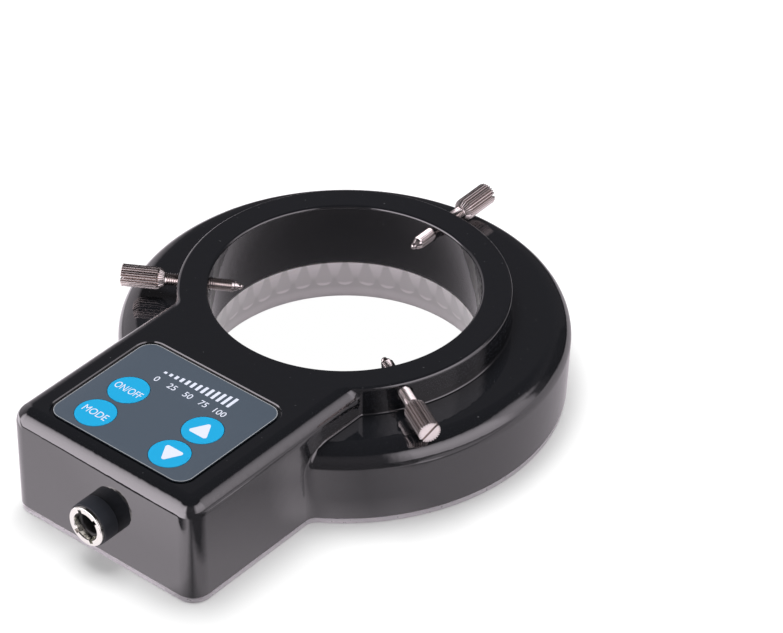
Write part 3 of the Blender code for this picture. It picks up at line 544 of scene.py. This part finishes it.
def housing_upper():
    """Box and collar with their edges, walls and foot fillets."""
    start = blend_centre(ring_r, box_half, ring_blend)[1]
    # the foot fillets shrink towards the ring's outer edge, over this distance
    fade_margin, fade_length, least = 0.6, 3.0, 0.02
    shoulder_foot = shoulder_z - shoulder_round

    def outline(box_inset, collar_inset):
        return whole(half_outline(
            collar_r - collar_inset, box_half - box_inset, box_reach - box_inset,
            box_corner - box_inset, collar_blend + (box_inset + collar_inset) / 2, start,
        ))

    levels = []
    for k in range(ROUND, -1, -1):
        turn = math.pi / 2 * k / ROUND
        rise, inset = 1 - math.sin(turn), 1 - math.cos(turn)
        ring = outline(box_edge * inset, collar_round * inset)
        edge = [box_edge * share + collar_round * (1 - share) for _, _, share in ring]
        levels.append([(x, y, top_z - r * rise) for (x, y, _), r in zip(ring, edge)])
    base = outline(0.0, 0.0)
    feet = []
    for i, (x, y, share) in enumerate(base):
        ax, ay, _ = base[i - 1]
        bx, by, _ = base[(i + 1) % len(base)]
        along = math.hypot(bx - ax, by - ay)
        nx, ny = (by - ay) / along, (ax - bx) / along
        radius = flank_foot * share + collar_foot * (1 - share)
        radius *= min(1.0, max(least, (ring_r - fade_margin - math.hypot(x, y)) / fade_length))
        feet.append((x, y, nx, ny, radius, foot_height(x, y, nx, ny, radius)))
    for k in range(FILLET + 1):
        turn = math.pi / 2 * k / FILLET * 1.04
        level = []
        for x, y, nx, ny, radius, centre in feet:
            if y < start:
                level.append((x, y, shoulder_foot - 2.0 - k))
                continue
            out = radius * (1 - math.cos(turn))
            level.append((x + nx * out, y + ny * out, centre - radius * math.sin(turn)))
        levels.append(level)
    levels.append([(x, y, shoulder_foot - 10.0 if y < start else centre - radius - 0.25)
                   for x, y, _, _, radius, centre in feet])
    levels.append(flat(base, shoulder_foot - 10.5))
    levels.append(flat(base, -5.0))
    return loft("housing_shell", levels)


def housing_lower():
    """Ring with its rounded shoulder; the box's flanks hide its neck."""
    neck_half, lower_reach, top_blend = box_half - 0.01, box_reach - 10, 0.5

    def outline(inset):
        blend = top_blend + (ring_blend - top_blend) * (1 - inset / shoulder_round) ** 1.5
        return whole(half_outline(ring_r - inset, neck_half, lower_reach - inset, box_corner, blend))

    levels = []
    for k in range(ROUND, -1, -1):
        turn = math.pi / 2 * k / ROUND
        levels.append(flat(outline(shoulder_round * (1 - math.cos(turn))),
                           shoulder_z - shoulder_round * (1 - math.sin(turn))))
    foot = whole(half_outline(ring_r - ring_draft, neck_half, lower_reach, box_corner, ring_blend))
    levels.append(flat(foot, 0.0))
    levels.append(flat(foot, -4.0))
    return loft("ring_body", levels)


def plate(name, half_x, near, far, corner, insets, steps=10):
    """Rounded rectangle through levels of (inset, height), from the top down."""
    return loft(name, [[(x, y, z) for x, y in rounded_rectangle(half_x, near, far, corner, inset, steps)]
                       for inset, z in insets])


def disc(name, radius, low, high, x, y, sides=48):
    """Upright round bar between two heights."""
    return turned(name, [(0, high), (radius, high), (radius, low), (0, low)], sides, place_matrix((x, y, 0)))


def key_place(name):
    """Middle, lowest and highest point and radius of a key in the model."""
    low, high = box_mm("key_" + name)
    middle = (low + high) / 2
    return middle.x, middle.y - RING_Y, low.z, high.z, (high.x - low.x) / 2


def housing():
    """Painted housing, replacing the model's plainer one."""
    shell = housing_upper()
    carve(shell, "UNION", [housing_lower()])
    above, below = top_z + 5, -9
    outer, under, inner_round = ring_r - wall, shoulder_z - wall, shoulder_round - wall
    ledge = lamp_board_z + lamp_board_t + seat_gap
    mouth = bore_r + bore_round
    hollow = [(0, above), (mouth + 0.3, above), (mouth + 0.3, top_z + 0.02)]
    hollow += arc((mouth, top_z - bore_round), bore_round, 90, 180, 6)
    hollow += [(bore_r, bore_foot_z + 0.15), (bore_r + 0.15, bore_foot_z), (bore_r + bore_wall, bore_foot_z)]
    hollow += [(bore_r + bore_wall, ledge), (collar_r + wall / 2, ledge), (collar_r + wall / 2, under)]
    hollow += arc((outer - inner_round, under - inner_round), inner_round, 90, 0, 3)
    hollow += [(outer - ring_draft, below), (0, below)]
    space = plate("box_space", box_half - wall, box_reach - wall, collar_r + bore_wall, box_corner - wall,
                  ((0.0, top_z - wall), (0.0, -7.6)))
    carve(shell, "DIFFERENCE", [turned("hollow", hollow, SIDES, PLAIN), space])
    bosses = []
    for index, (x, y) in enumerate(cover_screws):
        top = (shoulder_z if y > 0 else top_z) - wall / 2
        bosses.append(disc("boss_%d" % index, boss_r, housing_foot_z, top, x, y, 32))
    carve(shell, "UNION", bosses)

    wide, deep = 400, 40
    size, middle = (wide, wide, deep + housing_foot_z), (0, 0, (housing_foot_z - deep) / 2)
    cuts = [cutter_box("floor", size, middle, PLAIN)]
    pilot_low, pilot_high = -5, 8.3
    for index, (x, y) in enumerate(cover_screws):
        cuts.append(disc("pilot_%d" % index, pilot_r, pilot_low, pilot_high, x, y, 24))
    flare, recess_floor = 0.19, top_z - 0.7
    levels = ((-flare, above), (-flare, top_z), (0.0, top_z - 1.35 * flare), (0.0, recess_floor))
    cuts.append(plate("recess", panel_half + recess_gap, panel_near + recess_gap, panel_far - recess_gap,
                      panel_corner + recess_gap, levels))
    for name in keys:
        x, y, _, high, radius = key_place(name)
        cuts.append(disc("pocket_" + name, radius + 0.3, high - 1.0, above, x, y))
    # hole of a thumb screw, wider at both ends
    tapped_r, outer_r, inner_r, outside, inside = 1.6, 1.9, 1.8, 45, bore_r - 3
    hole = [(0, outside), (outer_r, outside), (outer_r, collar_r - 0.1), (tapped_r, collar_r - 0.5)]
    hole += [(tapped_r, bore_r + 0.4), (inner_r, bore_r - 0.1), (inner_r, inside), (0, inside)]
    for name, turn, _, _ in screws:
        cuts.append(turned("hole_" + name, hole, 32, place_matrix((0, 0, screw_axis_z), turn)))
    hole_r, hole_from, hole_to = 4.8, 70, 90
    hole = [(0, hole_to), (hole_r, hole_to), (hole_r, hole_from), (0, hole_from)]
    cuts.append(turned("socket_hole", hole, 64, place_matrix((0, 0, socket_z), 270.0)))
    carve(shell, "DIFFERENCE", cuts)
    finish_mesh(shell, paint, 34.0, replaces=["housing"])
    weighted = shell.modifiers.new("even_shading", "WEIGHTED_NORMAL")
    weighted.keep_sharp = True
    weighted.weight = 80


def cover():
    """Clear bottom plate, and the frosted wall that rises inside the ring."""
    levels = []
    for trim, height in ((0.12, cover_t), (0, cover_t - 0.12), (0, 0.2), (0.2, 0)):
        inset = cover_inset + trim
        outline = whole(half_outline(ring_r - ring_draft - inset, box_half - inset, box_reach - inset,
                                     box_corner - inset, ring_blend + inset))
        levels.append(flat(outline, height))
    sheet = loft("cover_plate", levels)
    foot = bore_r + guide_flare
    cuts = [turned("cover_bore", [(0, 9), (foot + 0.35, 9), (foot + 0.35, -9), (0, -9)], SIDES, PLAIN)]
    sink = [(0, 9), (1.3, 9), (1.3, cover_t), (2.4, 0.3), (2.4, -5), (0, -5)]
    for index, (x, y) in enumerate(cover_screws):
        cuts.append(turned("sink_%d" % index, sink, 32, place_matrix((x, y, 0))))
    carve(sheet, "DIFFERENCE", cuts)
    finish_mesh(sheet, clear, 30.0, replaces=["clear_cover"])

    rim, lip = bore_foot_z - seat_gap, lamp_board_z - seat_gap
    slope = guide_flare / rim

    def side(radius, heights):
        return [(radius + slope * (rim - z), z) for z in heights]

    profile = side(bore_r + 0.05, (rim, rim * 0.66, rim * 0.33, 0.25))
    profile += [(foot + 0.1, 0.05), (foot + 0.3, 0.05), (foot + 0.3, cover_t)]
    profile += side(bore_r + guide_wall, (cover_t, rim * 0.33, rim * 0.66, rim - 2.4))
    profile += [(seat_r + 0.5, rim - 0.6), (seat_r + 0.5, lip), (seat_r, lip), (seat_r, rim)]
    finish_mesh(turned("frosted_wall", list(reversed(profile)), SIDES, PLAIN, closed=True),
                frost, 40.0)


def lamps():
    """Board with two rows of round lamps, replacing the model's plainer one."""
    outer = lamp_rows[1][0] + lamp_r + 0.6
    low, top = lamp_board_z, lamp_board_z + lamp_board_t
    ring = turned("lamp_board_ring", [(seat_r, top), (outer, top), (outer, low), (seat_r, low)], 160,
                  PLAIN, closed=True)
    finish_mesh(ring, board_white, 30.0, replaces=["lamp_board"])
    base_r, centre_r = lamp_r + 0.25, 1.3
    lamp = [(0, low - 0.02), (base_r, low - 0.02), (base_r, low - 0.9), (lamp_r, low - 1.1)]
    lamp += arc((0, lamp_tip_z + lamp_r), lamp_r, 0, -78, 5) + [(0, lamp_tip_z)]
    centre = [(0, low + 0.01), (centre_r, low + 0.01), (centre_r, low - 0.4), (0, low - 0.4)]
    for name, shape, sides, look in (("lamp_domes", lamp, 18, lens), ("lamp_centres", centre, 10, phosphor)):
        bm = bmesh.new()
        for radius, stagger in lamp_rows:
            for index in range(lamps_per_row):
                angle = 2 * math.pi * (index + stagger) / lamps_per_row
                one = bmesh.new()
                lathe(one, shape, sides)
                one.transform(Matrix.Translation((radius * math.cos(angle), radius * math.sin(angle), 0)))
                spare = bpy.data.meshes.new("spare")
                one.to_mesh(spare)
                one.free()
                bm.from_mesh(spare)
                bpy.data.meshes.remove(spare)
        finish_mesh(new_object(name, bm, PLAIN), look, 50.0)


# Thumb screws

RIDGES = 26


def thumb_screw(name, turn, tip, slot_turn):
    """Knurled head with a slot, cone, threaded shaft and separate round tip."""
    direction = math.radians(turn)
    at = place_matrix((tip * math.cos(direction), tip * math.sin(direction), screw_axis_z), turn)
    end = screw_length
    start = end - head_length
    thread_depth, steps_per_turn = 0.36, 8
    thread_low, thread_high = 1.9, start - 1.2

    def thread(radius, height, angle):
        if radius < 1.3 or height > thread_high:
            return radius
        phase = (height / thread_pitch - angle / (2 * math.pi)) % 1.0
        fade = min(1.0, max(0.0, (height - thread_low) / 0.4), max(0.0, (thread_high - height) / 0.3))
        return radius - thread_depth * fade * abs(2 * phase - 1)

    low, high = 2.3, start - 1.1
    count = int(round((high - low) / thread_pitch * steps_per_turn))
    profile = [(0, start + 0.4), (shaft_r, start + 0.4), (shaft_r, start - 1.0)]
    profile += [(shaft_r, high - (high - low) * k / count) for k in range(count + 1)]
    profile += [(1.0, 1.85), (0.85, 1.8), (0.6, 1.8), (0.6, 3.8), (0, 3.8)]
    shaft = turned("shaft", profile, 30, at, reshape=thread)

    def knurl(radius, height, angle):
        """V grooves on the head, fading where the cone begins."""
        if radius < 1.6:
            return radius
        place = abs(2 * (angle * RIDGES / (2 * math.pi) % 1.0) - 1)
        return radius - 0.55 * min(1.0, max(0.0, (radius - 2.35) / 0.15)) * max(0.0, place - 0.4) / 0.6

    cone_foot = start - 1.0
    head = [(0, end), (1.1, end), (1.55, end), (head_r - 0.02, end), (head_r, end - 0.08)]
    head += [(head_r, end - 0.2), (head_r, start + 0.6), (head_r, start + 0.45)]
    head += [(head_r - 0.12, start + 0.12), (1.62, start - 0.95), (1.4, cone_foot), (0, cone_foot)]
    top = turned("thumb_head_" + name, head, RIDGES * 8, at, reshape=knurl)
    slot_size, slot_middle = (0.55, 8, 2.0), (0, 0, end + 0.1)
    carve(top, "DIFFERENCE", [cutter_box("slot", slot_size, slot_middle, at, slot_turn)])
    carve(top, "UNION", [shaft])
    finish_mesh(top, nickel, 24.0, name + "_thumb_screw", ["thumb_screw_" + name])

    stem_top, nose_top, nose_round = 3.55, 1.7, 0.72
    nose = [(0, stem_top), (stem_r, stem_top), (stem_r, nose_top), (1.14, nose_top), (1.18, 1.6)]
    nose += arc((0, nose_round), nose_round, 22, -84, 10) + [(0, 0.0)]
    finish_mesh(turned("thumb_point_" + name, nose, 32, at), nickel, 40.0, name + "_tip",
                ["thumb_tip_" + name])


def power_socket():
    """Matt barrel, plated sleeve with four slits, lining and centre pin."""
    at = place_matrix((0, 0, socket_z), 270.0)
    end, back = socket_end, socket_end - sleeve_depth
    r, bore = sleeve_r, sleeve_bore_r
    profile = [(bore + 0.2, end)] + arc((r - 0.3, end - 0.3), 0.3, 90, 0, 6)
    profile += [(r, back), (bore, back), (bore, end - 0.4)]
    sleeve = turned("socket_ring", profile, 72, at, closed=True)
    face, root, rim = box_reach + barrel_reach, box_reach - 1.5, 0.28
    barrel = [(r + 0.05, face)] + arc((barrel_r - rim, face - rim), rim, 90, 0, 5)
    barrel += [(barrel_r, root), (r + 0.05, root)]
    finish_mesh(turned("socket_barrel", barrel, 72, at, closed=True), barrel_black)
    carve(sleeve, "DIFFERENCE", [
        cutter_box("slit_%d" % k, (1.6, 1.0, 3.0), (bore + 0.1, 0, end), at, turn)
        for k, turn in enumerate((23.5, 133.0, 203.5, 313.0))])
    finish_mesh(sleeve, plated, 30.0, replaces=["socket_sleeve"])

    outer, floor = bore - 0.1, back + 2.2
    liner_r, pin_hole_r, mouth = 2.6, 1.3, end - 1.7
    liner = [(liner_r, end - 1.9), (2.75, mouth), (outer, mouth), (outer, back), (pin_hole_r, back),
             (pin_hole_r, floor), (liner_r, floor)]
    finish_mesh(turned("socket_lining", liner, 48, at, closed=True), black_plastic,
                replaces=["socket_liner"])
    tip = end - 2.8
    pin = [(0, tip)] + arc((0.5, tip - 0.5), 0.5, 90, 0, 5) + [(1.0, back), (0, back)]
    finish_mesh(turned("socket_centre_pin", pin, 32, at), nickel, replaces=["socket_pin"])


# Panel, print and keys

PRINT_T = 0.02


def text_mesh(name, words, size, x, y, z, bold=0.0):
    """Letters as a thin raised print, their capitals of the given height."""
    curve = bpy.data.curves.new(name, "FONT")
    curve.body = words
    curve.size = size / 0.7
    curve.align_x = "CENTER"
    curve.offset = bold
    curve.extrude = PRINT_T / 2
    curve.resolution_u = 6
    made = bpy.data.objects.new(name, curve)
    bpy.context.scene.collection.objects.link(made)
    bpy.context.view_layer.update()
    graph = bpy.context.evaluated_depsgraph_get()
    mesh = bpy.data.meshes.new_from_object(made.evaluated_get(graph))
    bpy.data.objects.remove(made, do_unlink=True)
    mesh.transform(place_matrix((x, y - size / 2, z + PRINT_T / 2)))
    mesh.name = name
    letters = bpy.data.objects.new(name, mesh)
    bpy.context.scene.collection.objects.link(letters)
    return letters


def flat_print(name, outlines, z):
    """Printed shapes with straight or rounded outlines, as thin raised solids."""
    bm = bmesh.new()
    for outline in outlines:
        skin(bm, [[bm.verts.new((x, y, height)) for x, y in outline] for height in (z + PRINT_T, z)],
             capped=True)
    return new_object(name, bm, PLAIN)


def rounded(points, radius, steps=4):
    """Polygon with rounded corners, given counterclockwise."""
    out = []
    count = len(points)
    for i in range(count):
        p, a, b = (Vector(points[k % count]) for k in (i, i - 1, i + 1))
        u, v = (a - p).normalized(), (b - p).normalized()
        half = math.acos(max(-1.0, min(1.0, u.dot(v)))) / 2
        centre = p + (u + v).normalized() * (radius / math.sin(half))
        first = p + u * (radius / math.tan(half))
        last = p + v * (radius / math.tan(half))
        start = math.atan2(first.y - centre.y, first.x - centre.x)
        end = math.atan2(last.y - centre.y, last.x - centre.x)
        while end < start:
            end += 2 * math.pi
        out += arc(centre, radius, math.degrees(start), math.degrees(end), steps)
    return out


def panel():
    """Printed film in its recess, with its pale border and the brightness scale."""
    edge = 0.06
    levels = ((edge, panel_top), (edge * 0.3, panel_top - edge * 0.3), (0.0, panel_top - edge),
              (0.0, panel_low.z))
    film_body = plate("panel_film", panel_half, panel_near, panel_far, panel_corner, levels, 12)
    windows = []
    for name in keys:
        x, y, _, _, radius = key_place(name)
        windows.append(disc("window_" + name, radius + 0.1, panel_low.z - 1, panel_top + 1, x, y, 72))
    carve(film_body, "DIFFERENCE", windows)
    finish_mesh(film_body, film, 30.0, replaces=["panel_overlay"])

    bm = bmesh.new()
    border_out, border_in, border_high, border_low = 0.03, 0.16, panel_top + 0.012, panel_top - 0.01
    rings = []
    for inset, z in ((border_out, border_high), (border_in, border_high), (border_in, border_low),
                     (border_out, border_low)):
        outline = rounded_rectangle(panel_half, panel_near, panel_far, panel_corner, inset, 12)
        rings.append([bm.verts.new((x, y, z)) for x, y in outline])
    skin(bm, rings, closed=True)
    finish_mesh(new_object("panel_border", bm, PLAIN), film_edge)

    bars, count, scale_half, bar_half, foot_y = [], 13, 9.0, 0.38, -49.2
    for k in range(count):
        x = scale_half * (2 * k / (count - 1) - 1)
        tall = 0.7 + 2.9 * k / (count - 1)
        bars.append(rounded([(x - bar_half, foot_y), (x + bar_half, foot_y), (x + bar_half, foot_y + tall),
                             (x - bar_half, foot_y + tall)], 0.14))
    finish_mesh(flat_print("brightness_bars", bars, panel_top), print_look)
    mark_size, mark_y = 1.7, -51.6
    for k, words in enumerate(("0", "25", "50", "75", "100")):
        label = text_mesh("brightness_mark_" + words, words, mark_size, scale_half * (k / 2 - 1), mark_y,
                          panel_top, bold=0.01)
        finish_mesh(label, print_look)


def blue_keys():
    """Keys with a rounded edge, each with its printed sign."""
    edge, skirt, stem, sign_size, arrow_round = 0.12, 0.6, 1.5, 2.05, 0.55
    # word and its width on the keys that have no arrow
    signs = {"power": ("ON/OFF", 7.3), "mode": ("MODE", 6.6)}
    for name in keys:
        x, y, low, high, radius = key_place(name)
        high -= 0.03
        cap = [(0, high)] + [(radius * share, high) for share in (0.5, 0.9)]
        cap += arc((radius - edge, high - edge), edge, 90, 0, 3)
        cap += [(radius, high - skirt), (stem, high - skirt), (stem, low), (0, low)]
        body = name + "_key"
        finish_mesh(turned("key_cap_" + name, cap, 72, place_matrix((x, y, 0))), key_look,
                    30.0, body, ["key_" + name])
        if name in signs:
            words, wide = signs[name]
            mark = text_mesh("key_mark_" + name, words, sign_size, x, y, high)
            spread = [v.co.x for v in mark.data.vertices]
            scale = wide / (max(spread) - min(spread))
            middle = (max(spread) + min(spread)) / 2
            for v in mark.data.vertices:
                v.co.x = x + (v.co.x - middle) * scale
        else:
            sign = 1 if name == "up" else -1
            shape = [(-2.75, -1.95 * sign), (2.75, -1.95 * sign), (0, 2.95 * sign)]
            if sign < 0:
                shape.reverse()
            outline = [(x + a, y + b) for a, b in rounded(shape, arrow_round, 6)]
            mark = flat_print("key_mark_" + name, [outline], high)
        finish_mesh(mark, print_look, 30.0, body)


def small_screws():
    """Countersunk screws under the cover, with a cross slot."""
    profile = [(0, 8.0), (1.0, 7.0), (1.0, 1.1), (1.95, 0.25), (2.05, 0.12), (0, 0.1)]
    cross_length, cross_width, cross_low, cross_high = 2.4, 0.5, -1, 0.65
    for index, (x, y) in enumerate(cover_screws):
        at = place_matrix((x, y, 0))
        screw = turned("cover_fixing_%d" % (index + 1), profile, 32, at)
        middle, deep = (0, 0, (cross_low + cross_high) / 2), cross_high - cross_low
        carve(screw, "DIFFERENCE", [cutter_box("cross_a", (cross_length, cross_width, deep), middle, at),
                                    cutter_box("cross_b", (cross_width, cross_length, deep), middle, at)])
        finish_mesh(screw, zinc, 30.0, replaces=["cover_screw_%d" % (index + 1)])


def inner_pieces():
    """Materials of the model's own pieces that stay."""
    looks = {
        "control_board": board_green, "driver_chip": black_plastic, "choke_coil": copper, "capacitor": zinc,
        "lamp_connector": white_plastic, "socket_nut": nickel, "socket_block": black_plastic,
        "socket_lug_plus": copper, "socket_lug_minus": copper, "wire_socket_plus": red_wire,
        "wire_lamps_plus": red_wire, "wire_socket_minus": black_wire, "wire_lamps_minus": black_wire,
    }
    for k in range(1, 5):
        looks["board_screw_%d" % k] = zinc
    for name in keys:
        looks["switch_" + name] = zinc
        looks["plunger_" + name] = black_plastic
    for name, look in looks.items():
        mesh = nodes[name].data
        mesh.materials.clear()
        mesh.materials.append(look.material)


# Floor, light and camera

LEFT_GLOW, RIGHT_GLOW = 3.2, 1.9
GLOW_TINT = (1.03, 0.95, 1.02, 1.0)
WHITE = (1.0, 1.0, 1.0, 1.0)
PLAIN_LIGHT, DARK_ROOM = 0.42, 0.03
FLOOR_HALF, FLOOR_WHITE = 6.0, 0.22


def around(x, y):
    """What polished surfaces see on each side of the studio, by the angle from -Y towards +X."""
    return bearing(x, y).curve(
        -180.0, 180.0, (-180, 0.04), (-128, 0.04), (-119, 0.7), (-98, 0.6), (-68, 0.3), (-58, LEFT_GLOW),
        (10, LEFT_GLOW), (21, 0.12), (59, 0.12), (74, RIGHT_GLOW), (119, RIGHT_GLOW),
        (127, 0.64 * RIGHT_GLOW), (146, 0.6 * RIGHT_GLOW), (156, 0.06), (180, 0.04))


def floor_reflection(x, y, radius):
    """How bright the floor is to polished surfaces, by the place they mirror."""
    angle = bearing(x, y)

    def by_angle(*stops):
        return angle.curve(-180.0, 180.0, *stops)

    def by_radius(*stops):
        return radius.curve(0.0, 100.0, *stops)

    # near the object: bands that run along the box's front
    across = x * 0.77 + y * 0.64 + 30.4
    near = across.curve(-40.0, 160.0, (-40, 1.25), (-9, 1.25), (-1, 0.27), (4, 0.78), (15, 0.75), (26, 0.61),
                        (38, 0.44), (56, 0.6), (78, 0.62), (110, 0.66))
    # further out the floor takes over what stands on that side
    reach = by_angle((-180, 1.1), (20, 1.1), (29, 0.76), (64, 0.76), (78, 1.5), (180, 1.5))
    away = (radius / (reach * 100.0) - 1.0).curve(0.0, 1.0, (0, 0.0), (0.2, 1.0))
    dimmed = by_angle((55, 1.0), (60, 0.6), (66, 0.16), (78, 0.15), (88, 0.22), (110, 0.25), (127, 0.6),
                      (180, 0.6))
    glow = near * (1.0 - away) + around(x, y) * away * dimmed
    # left card: a bright edge, a dark gap and the card itself
    line_start = (x * 0.5 - 109.0).at_most(-115.0)
    beyond = (y * -1.0 + line_start) * 0.894
    card = beyond.curve(-40.0, 40.0, (-24, 1.25), (-14, 1.45), (-11.5, 1.45), (-10, 0.12), (-0.8, 0.12),
                        (1.5, LEFT_GLOW))
    left = beyond.curve(-40.0, 40.0, (-26, 0.0), (-24, 1.0))
    left = left * by_angle((-66, 0.0), (-58, 1.0), (10, 1.0), (18, 0.0))
    glow = card * left + glow * (1.0 - left)
    # dark line beside the right wall
    ridge = x * 0.74 - y * 0.67
    line = ridge.curve(0.0, 200.0, (61, 1.0), (65, 0.55), (70, 0.55), (73, 1.1), (82, 1.1), (88, 1.0))
    line = (line - 1.0) * x.curve(0.0, 200.0, (56, 0.0), (62, 1.0)) + 1.0
    # light line at the ring's foot, and a small card that the right screw's end face mirrors
    foot = by_radius((53, 0.5), (58, 0.0)) * by_angle((32, 0.0), (37, 1.0), (55, 1.0), (65, 0.0))
    spot = length(x - 77.0, y + 29.5).curve(0.0, 20.0, (6.5, 0.85), (9.5, 0.0))
    glow = glow * line * (foot + spot + 1.0)
    # inside the bore
    inside = by_radius((31, 1.0), (34, 0.0))
    bore = by_radius((0, 0.09), (12, 0.12), (20, 0.2), (24, 0.3), (29, 0.5), (31, 0.6))
    return bore * inside + glow * (1.0 - inside)


def stage():
    """Pale floor that keeps the shadow; polished surfaces see bright and dark parts on it."""
    bm = bmesh.new()
    bmesh.ops.create_grid(bm, x_segments=1, y_segments=1, size=FLOOR_HALF)
    mesh = bpy.data.meshes.new("floor")
    bm.to_mesh(mesh)
    bm.free()
    floor = bpy.data.objects.new("floor", mesh)
    bpy.context.scene.collection.objects.link(floor)
    look = Look("pale_floor", (0.98, 0.98, 0.98), 0.9, Specular_IOR_Level=0.0)
    x, y, _ = look.place()
    radius = length(x, y)
    mirrored = look.node("ShaderNodeEmission", Color=GLOW_TINT)
    look.link(floor_reflection(x, y, radius).output, mirrored.inputs["Strength"])

    # the camera sees white inside the bore, and outside it the floor with its shadow
    white = look.node("ShaderNodeEmission", Color=WHITE, Strength=1.0)
    rays = look.node("ShaderNodeLightPath")
    camera_ray, through_ray = (Value(look.tree, rays.outputs[name])
                               for name in ("Is Camera Ray", "Is Transmission Ray"))
    share = radius.curve(0.0, 100.0, (33, 1.0), (35, 0.0)) * (1.0 - FLOOR_WHITE) + FLOOR_WHITE
    mix = look.node("ShaderNodeMixShader")
    look.link((camera_ray.at_least(through_ray) * share).output, mix.inputs[0])
    look.link(look.shader.outputs[0], mix.inputs[1])
    look.link(white.outputs[0], mix.inputs[2])
    final = look.node("ShaderNodeMixShader")
    look.link(rays.outputs["Is Glossy Ray"], final.inputs[0])
    look.link(mix.outputs[0], final.inputs[1])
    look.link(mirrored.outputs[0], final.inputs[2])
    look.link(final.outputs[0], look.tree.nodes["Material Output"].inputs["Surface"])
    mesh.materials.append(look.material)


def world():
    """Plain light for dull surfaces; polished ones see bright cards in a dark room."""
    made = bpy.data.worlds.new("studio")
    bpy.context.scene.world = made
    made.use_nodes = True
    tree = made.node_tree
    tree.nodes.clear()
    out = tree.nodes.new("ShaderNodeOutputWorld")
    plain, cards = (tree.nodes.new("ShaderNodeBackground") for _ in range(2))
    plain.inputs["Color"].default_value = WHITE
    plain.inputs["Strength"].default_value = PLAIN_LIGHT
    cards.inputs["Color"].default_value = GLOW_TINT
    place = tree.nodes.new("ShaderNodeTexCoord")
    split = tree.nodes.new("ShaderNodeSeparateXYZ")
    tree.links.new(place.outputs["Generated"], split.inputs[0])
    x, y, z = (Value(tree, split.outputs[axis]) for axis in "XYZ")
    left_height = z.curve(0.0, 1.0, (0.0, 1.0), (0.3, 0.95), (0.5, 0.8), (0.58, 0.7), (0.64, 0.5),
                          (0.71, 0.0))
    right_height = z.curve(0.0, 1.0, (0.0, 0.72), (0.12, 0.78), (0.3, 0.93), (0.45, 0.98), (0.57, 0.92),
                           (0.66, 0.76), (0.72, 0.5), (0.77, 0.0))
    right = x.curve(-1.0, 1.0, (-0.1, 0.0), (0.4, 1.0))
    height = left_height * (1.0 - right) + right_height * right
    # low down, the far right is dark
    gap = bearing(x, y).curve(0.0, 180.0, (137.51, 0.0), (143.24, 0.9))
    gap = gap * z.curve(0.0, 1.0, (0.4, 1.0), (0.55, 0.0))
    glow = around(x, y) * (height * (1.0 - gap)) + DARK_ROOM
    tree.links.new(glow.output, cards.inputs["Strength"])
    rays = tree.nodes.new("ShaderNodeLightPath")
    mix = tree.nodes.new("ShaderNodeMixShader")
    tree.links.new(rays.outputs["Is Glossy Ray"], mix.inputs[0])
    tree.links.new(plain.outputs[0], mix.inputs[1])
    tree.links.new(cards.outputs[0], mix.inputs[2])
    tree.links.new(mix.outputs[0], out.inputs["Surface"])


def outward(azimuth, elevation):
    """Direction from the part; azimuth 0 stands towards -Y and 90 towards +X."""
    a, e = math.radians(azimuth), math.radians(elevation)
    return Vector((math.sin(a) * math.cos(e), -math.cos(a) * math.cos(e), math.sin(e)))


def top_lamp():
    """One soft square lamp overhead, which polished surfaces don't see."""
    light = bpy.data.lights.new("top_lamp", "AREA")
    light.shape = "RECTANGLE"
    azimuth, elevation, distance, side, power = 236.0, 80.0, 1.2, 0.8, 15.0
    light.size = light.size_y = side
    light.energy = power
    made = bpy.data.objects.new("top_lamp", light)
    bpy.context.scene.collection.objects.link(made)
    made.location = outward(azimuth, elevation) * distance
    aim = Vector((0, 0, 0.01))
    made.rotation_euler = (aim - made.location).to_track_quat("-Z", "Y").to_euler()
    made.visible_glossy = False


def camera():
    """The photograph's viewpoint, fitted to the outlines of the ring and the box."""
    azimuth, elevation, roll = 39.847, 37.019, math.radians(0.265)
    # distance in millimetres; focal length and picture width in pixels
    distance, focal_pixels, width = 889.21, 3848.21, 783.0
    target = Vector((-6.463, 24.058, 1.504))
    back = outward(azimuth, elevation)
    across = Vector((math.cos(math.radians(azimuth)), math.sin(math.radians(azimuth)), 0))
    rise = back.cross(across)
    right = math.cos(roll) * across + math.sin(roll) * rise
    up = math.cos(roll) * rise - math.sin(roll) * across
    data = bpy.data.cameras.new("camera")
    data.sensor_width = 36.0
    data.lens = data.sensor_width * focal_pixels / width
    data.clip_start, data.clip_end = 0.01, 50.0
    made = bpy.data.objects.new("camera", data)
    bpy.context.scene.collection.objects.link(made)
    place = (target + back * distance + Vector((0, RING_Y, 0))) * MM
    made.matrix_world = Matrix((
        (right.x, up.x, back.x, place.x), (right.y, up.y, back.y, place.y),
        (right.z, up.z, back.z, place.z), (0, 0, 0, 1),
    ))
    bpy.context.scene.camera = made


housing()
cover()
lamps()
for screw in screws:
    thumb_screw(*screw)
power_socket()
panel()
blue_keys()
small_screws()
inner_pieces()
stage()
world()
top_lamp()
camera()

bpy.context.scene.view_settings.view_transform = "Standard"
